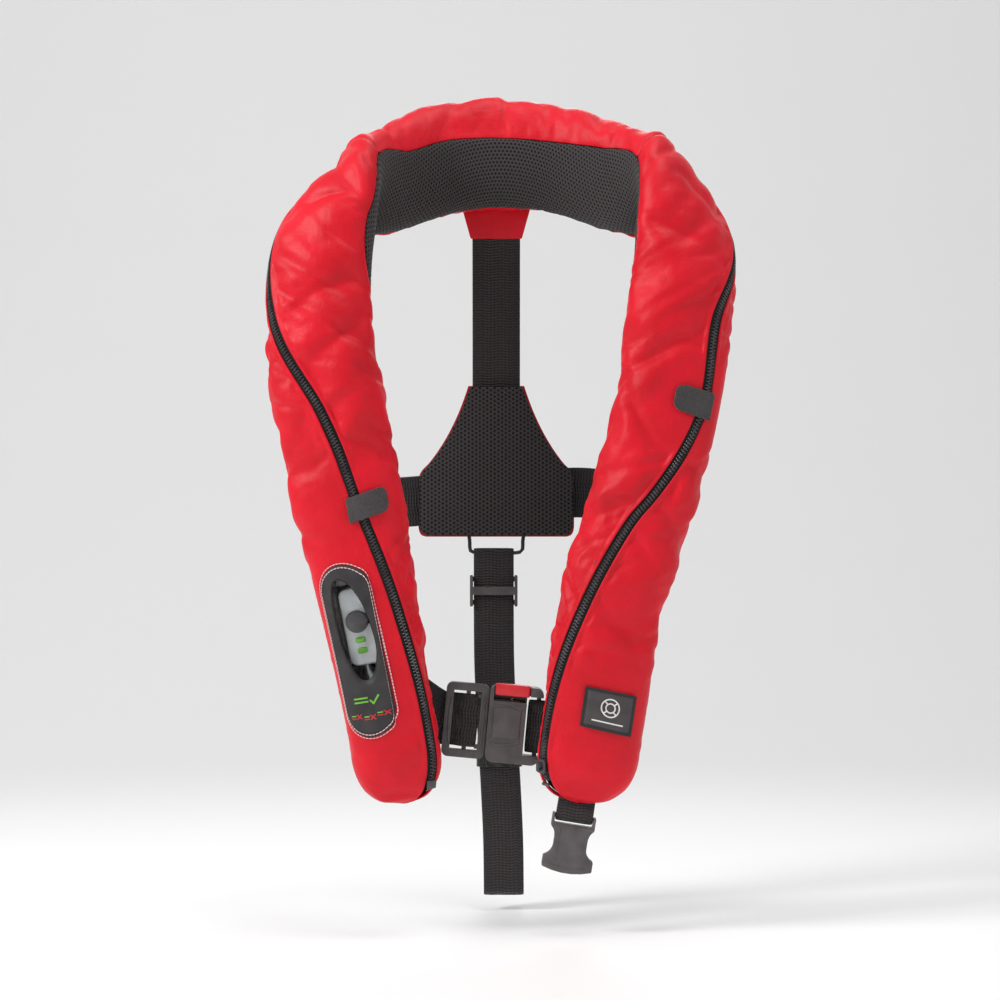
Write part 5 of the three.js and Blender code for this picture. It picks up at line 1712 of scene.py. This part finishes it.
plate_bm = bmesh.new()
plate_form(plate_bm)
plate = object_from(lay(plate_bm, WINDOW_AT, WINDOW_ANGLE), "window_plate", PANEL_PRINT)
shell = plate.modifiers.new("thickness", "SOLIDIFY")
shell.thickness = 0.9 * MM
shell.offset = -1.0
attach(plate, "jacket")
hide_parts("window_panel")


PANE_DOME = 1.3 * MM
PANE_TUCK = 1.04


def pane_form(bm):
    """The clear pane: a fan of rings inside the window's outline, a little domed."""
    bmesh.ops.create_circle(bm, cap_ends=True, cap_tris=True, segments=64, radius=1.0)
    spokes = [edge for edge in bm.edges if not edge.is_boundary]
    bmesh.ops.subdivide_edges(bm, edges=spokes, cuts=5, use_grid_fill=True)
    for vertex in bm.verts:
        share = (math.atan2(vertex.co.y, vertex.co.x) / (2 * math.pi)) % 1.0
        radius = min(1.0, vertex.co.length)
        edge = view_point(share)
        lift = PLATE_LIFT - 0.4 * MM + PANE_DOME * (1 - radius ** 2)
        vertex.co = (mix(0.0, edge[0], radius * PANE_TUCK), lift, mix(VIEW_RISE, edge[1], radius * PANE_TUCK))


pane_bm = bmesh.new()
pane_form(pane_bm)
pane = object_from(lay(pane_bm, WINDOW_AT, WINDOW_ANGLE), "window_pane", CLEAR_VINYL)
shell = pane.modifiers.new("thickness", "SOLIDIFY")
shell.thickness = 0.35 * MM
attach(pane, "jacket")
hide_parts("window_clear")
print("window done")

# %% [markdown]
# ## Stitches
# A row of stitches is one short thread copied along a line at an even pitch. A bump could suggest
# it, but real thread catches light at the plate's edge. The line is drawn flat and laid on the
# cover with the rest.

# %% Stitches
STITCH = 2.6 * MM


def stitch_shape(bm):
    """One stitch: a short thick thread."""
    block(bm, Vector((0.62, 0.5, 2.1)) * MM, Matrix.Identity(4), 0.18 * MM)


stitch_mesh = template(stitch_shape)


def stitches(points, lift):
    """A bmesh with one stitch per STITCH of a line of flat (x, z) points."""
    line, length = catmull([Vector((x, lift, z)) for x, z in points], max(2, 4 * len(points)))
    count = max(1, round(length / STITCH))
    line = catmull(line, count * 2)[0]
    places = []
    for k in range(count):
        one, two = line[2 * k], line[2 * k + 2]
        ahead = (two - one).normalized()
        off = Vector((0.0, 1.0, 0.0))
        places.append(stand(line[2 * k + 1], ahead.cross(off), off, ahead))
    return strew(stitch_mesh, places)


def sewn(name, rows, s0, angle0, material, body="jacket", slant=0.0):
    """Several rows of stitches laid on the cover as one piece."""
    whole = bmesh.new()
    for points, lift in rows:
        part = stitches(points, lift)
        mesh = bpy.data.meshes.new("row")
        part.to_mesh(mesh)
        part.free()
        whole.from_mesh(mesh)
    piece = object_from(lay(whole, s0, angle0, slant), name, material)
    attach(piece, body)
    return piece


def plate_row(outset):
    """A line of points along the plate's edge, that far outside it."""
    return [stadium_point(PLATE_HALF + outset, PLATE_LENGTH + 2 * outset, k / 90) for k in range(91)]


sewn("window_stitches", [(plate_row(-1.9 * MM), PLATE_LIFT + 1.35 * MM), (plate_row(0.9 * MM), 0.9 * MM)],
     WINDOW_AT, WINDOW_ANGLE, THREAD_PALE)

# %% [markdown]
# The printed marks on the plate only say "ready" and "not ready", so plain shapes do: a green bar
# with a tick, and three red crosses, each beside a small bar. They are thin raised prints.


# %% Printed marks
def stroke(bm, points, width, lift):
    """A flat printed line of blocks between points (x, z) in metres."""
    for (x0, z0), (x1, z1) in zip(points, points[1:]):
        ahead = Vector((x1 - x0, 0.0, z1 - z0))
        place = stand(Vector(((x0 + x1) / 2, lift, (z0 + z1) / 2)),
                      ahead.normalized().cross(Vector((0.0, 1.0, 0.0))), Vector((0.0, 1.0, 0.0)),
                      ahead.normalized())
        block(bm, Vector((width, 0.16 * MM, ahead.length + width * 0.6)), place)


def marks(name, strokes, width, material, slot, s0, angle0, lift, slant=0.0):
    """Printed strokes, in flat millimetres, laid on the cover as one piece."""
    bm = bmesh.new()
    for points in strokes:
        stroke(bm, [(x * MM, z * MM) for x, z in points], width * MM, lift)
    edges = [edge for edge in bm.edges if edge.calc_length() > 2.5 * MM]
    bmesh.ops.subdivide_edges(bm, edges=edges, cuts=2)
    piece = object_from(lay(bm, s0, angle0, slant), name, material)
    piece.data.shade_flat()
    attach(piece, "jacket")
    return piece


MARK_LIFT = PLATE_LIFT + 1.2 * MM
tick = [(3.0, -35.6), (5.0, -38.4), (9.2, -32.6)]
green_bar = [[(-8.5, -33.4), (1.2, -33.4)], [(-8.5, -36.4), (1.2, -36.4)]]
ON_PLATE = {"s0": WINDOW_AT, "angle0": WINDOW_ANGLE, "lift": MARK_LIFT}
marks("green_marks", [tick] + green_bar, 1.3, GREEN_PLASTIC, "green_plastic", **ON_PLATE)
crosses = []
little_bars = []
for x, z in ((-8.6, -47.5), (1.4, -49.0), (11.2, -47.0)):
    crosses += [[(x - 0.2, z - 1.7), (x + 3.2, z + 1.7)], [(x - 0.2, z + 1.7), (x + 3.2, z - 1.7)]]
    crosses.append([(x - 4.6, z - 1.2), (x - 1.4, z - 1.2)])
    little_bars.append([(x - 4.6, z + 0.8), (x - 1.4, z + 0.8)])
marks("red_marks", crosses, 0.9, RED_PRINT, "red_plastic", **ON_PLATE)
marks("small_green_marks", little_bars, 0.9, GREEN_PLASTIC, "green_plastic", **ON_PLATE)
print("printed marks done")

# %% [markdown]
# ## Patch and grip tabs
# The maker's patch is moulded rubber with a raised rim. In place of any mark it carries a plain
# lifebuoy: a ring with four bands. The tabs are two layers of hook-and-loop tape, stitched in a box.

# %% Patch
PATCH_SLANT = 0.09


def sheet_form(bm, width, height, thick, corner, cuts=8):
    """A flat plate of that width and height with rounded corners, dense enough to bend."""
    made = bmesh.ops.create_grid(bm, x_segments=cuts, y_segments=cuts, size=0.5)["verts"]
    for vertex in made:
        x, z = vertex.co.x * 2, vertex.co.y * 2
        pull = corner * max(0.0, abs(x) + abs(z) - 1.0) ** 3
        vertex.co = (x * (width / 2 - pull), 0.0, z * (height / 2 - pull))
    faces = list({face for vertex in made for face in vertex.link_faces})
    lifted = bmesh.ops.extrude_face_region(bm, geom=faces)["geom"]
    raised = [part for part in lifted if isinstance(part, bmesh.types.BMVert)]
    bmesh.ops.translate(bm, vec=(0.0, thick, 0.0), verts=raised)


patch_bm = bmesh.new()
sheet_form(patch_bm, 39 * MM, 30 * MM, 1.3 * MM, 0.5 * MM)
bmesh.ops.translate(patch_bm, vec=(0.0, 0.9 * MM, 0.0), verts=patch_bm.verts)
patch = object_from(lay(patch_bm, PATCH_AT, PATCH_ANGLE, PATCH_SLANT), "patch_base", PATCH_RUBBER)
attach(patch, "jacket")
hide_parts("maker_patch")

rim_bm = bmesh.new()
corners = [(-18.4, -13.9), (18.4, -13.9), (18.4, 13.9), (-18.4, 13.9), (-18.4, -13.9)]
for (x0, z0), (x1, z1) in zip(corners, corners[1:]):
    for k in range(6):
        one = (mix(x0, x1, k / 6) * MM, mix(z0, z1, k / 6) * MM)
        two = (mix(x0, x1, (k + 1) / 6) * MM, mix(z0, z1, (k + 1) / 6) * MM)
        stroke(rim_bm, [one, two], 2.0 * MM, 2.35 * MM)
rim = object_from(lay(rim_bm, PATCH_AT, PATCH_ANGLE, PATCH_SLANT), "patch_rim", PATCH_RIM)
rim.data.shade_flat()
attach(rim, "jacket")


def circle(radius, x, z, count=24, start=0.0, end=1.0):
    turns = [2 * math.pi * mix(start, end, k / count) for k in range(count + 1)]
    return [(x + radius * math.cos(turn), z + radius * math.sin(turn)) for turn in turns]


LIFEBUOY = (0.0, 2.4)
buoy = [circle(6.6, *LIFEBUOY), circle(3.4, *LIFEBUOY)]
for quarter in range(4):
    buoy.append([(LIFEBUOY[0] + r * math.cos(math.pi / 4 + quarter * math.pi / 2),
                  LIFEBUOY[1] + r * math.sin(math.pi / 4 + quarter * math.pi / 2)) for r in (3.4, 6.6)])
buoy.append([(-11.0, -8.6), (-4.0, -8.6), (4.0, -8.6), (11.0, -8.6)])
marks("patch_mark", buoy, 0.95, PALE_PRINT, "white_plastic", PATCH_AT, PATCH_ANGLE, 2.3 * MM, PATCH_SLANT)
print("patch done")

# %% [markdown]
# ## Grip tabs
# Two tabs of hook-and-loop tape lie across the zip. Each is a small grid whose free end is rounded
# by pulling its rows in, pressed down where it is stitched and lifted a little at the end. It rides
# on its own body, because it turns up round its sewn edge.

# %% Grip tabs
TAB_LENGTH = 29 * MM
TAB_HALF = 9.5 * MM
TAB_SHIFT = 8 * MM
TAB_CORNER = 6 * MM
TAB_LIFT = 2.3 * MM
TAB_CURL = 0.5 * MM
STITCH_PRESS = 0.35 * MM


def grip_tab(name, node, body, s0, swing):
    """A tab over the zip: rounded free end, pressed down where it is sewn, one thickened sheet."""
    middle = round_by(s0, zip_angle(s0), -TAB_SHIFT)

    def place(r, c):
        share = r / 24
        from_end = (1 - share) * TAB_LENGTH
        nip = 0.0
        if from_end < TAB_CORNER:
            nip = TAB_CORNER - math.sqrt(TAB_CORNER ** 2 - (TAB_CORNER - from_end) ** 2)
        reach = (share - 0.5) * TAB_LENGTH
        q = (c / 12 - 0.5) * 2 * (TAB_HALF - nip * 0.9)
        at = along_by(s0, q - swing * reach)
        press = STITCH_PRESS * math.exp(-((share - 0.12) / 0.04) ** 2)
        curl = TAB_CURL * smoothstep(share, 0.7, 1.0)
        return cover_point(at, round_by(at, middle, -reach, 3), TAB_LIFT - press + curl)

    bm = grid(24, 12, place, flat_uv(2 * TAB_HALF, TAB_LENGTH, 24, 12))
    bmesh.ops.recalc_face_normals(bm, faces=bm.faces)
    piece = object_from(bm, name, TAB_PILE)
    shell = piece.modifiers.new("thickness", "SOLIDIFY")
    shell.thickness = 1.7 * MM
    shell.offset = 0.0
    edge = piece.modifiers.new("edge", "BEVEL")
    edge.width = 0.45 * MM
    edge.segments = 2
    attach(piece, body)
    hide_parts(node)
    return piece


grip_tab("grip_tab_left", "zip_tab_left", "left_tab", TAB_LEFT_AT, -0.15)
grip_tab("grip_tab_right", "zip_tab_right", "right_tab", TAB_RIGHT_AT, 0.1)
print("grip tabs done")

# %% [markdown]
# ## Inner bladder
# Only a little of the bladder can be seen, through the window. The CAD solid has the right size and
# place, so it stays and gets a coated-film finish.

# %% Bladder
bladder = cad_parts["bladder_folded"]
for slot_of in bladder.material_slots:
    slot_of.material = BLADDER
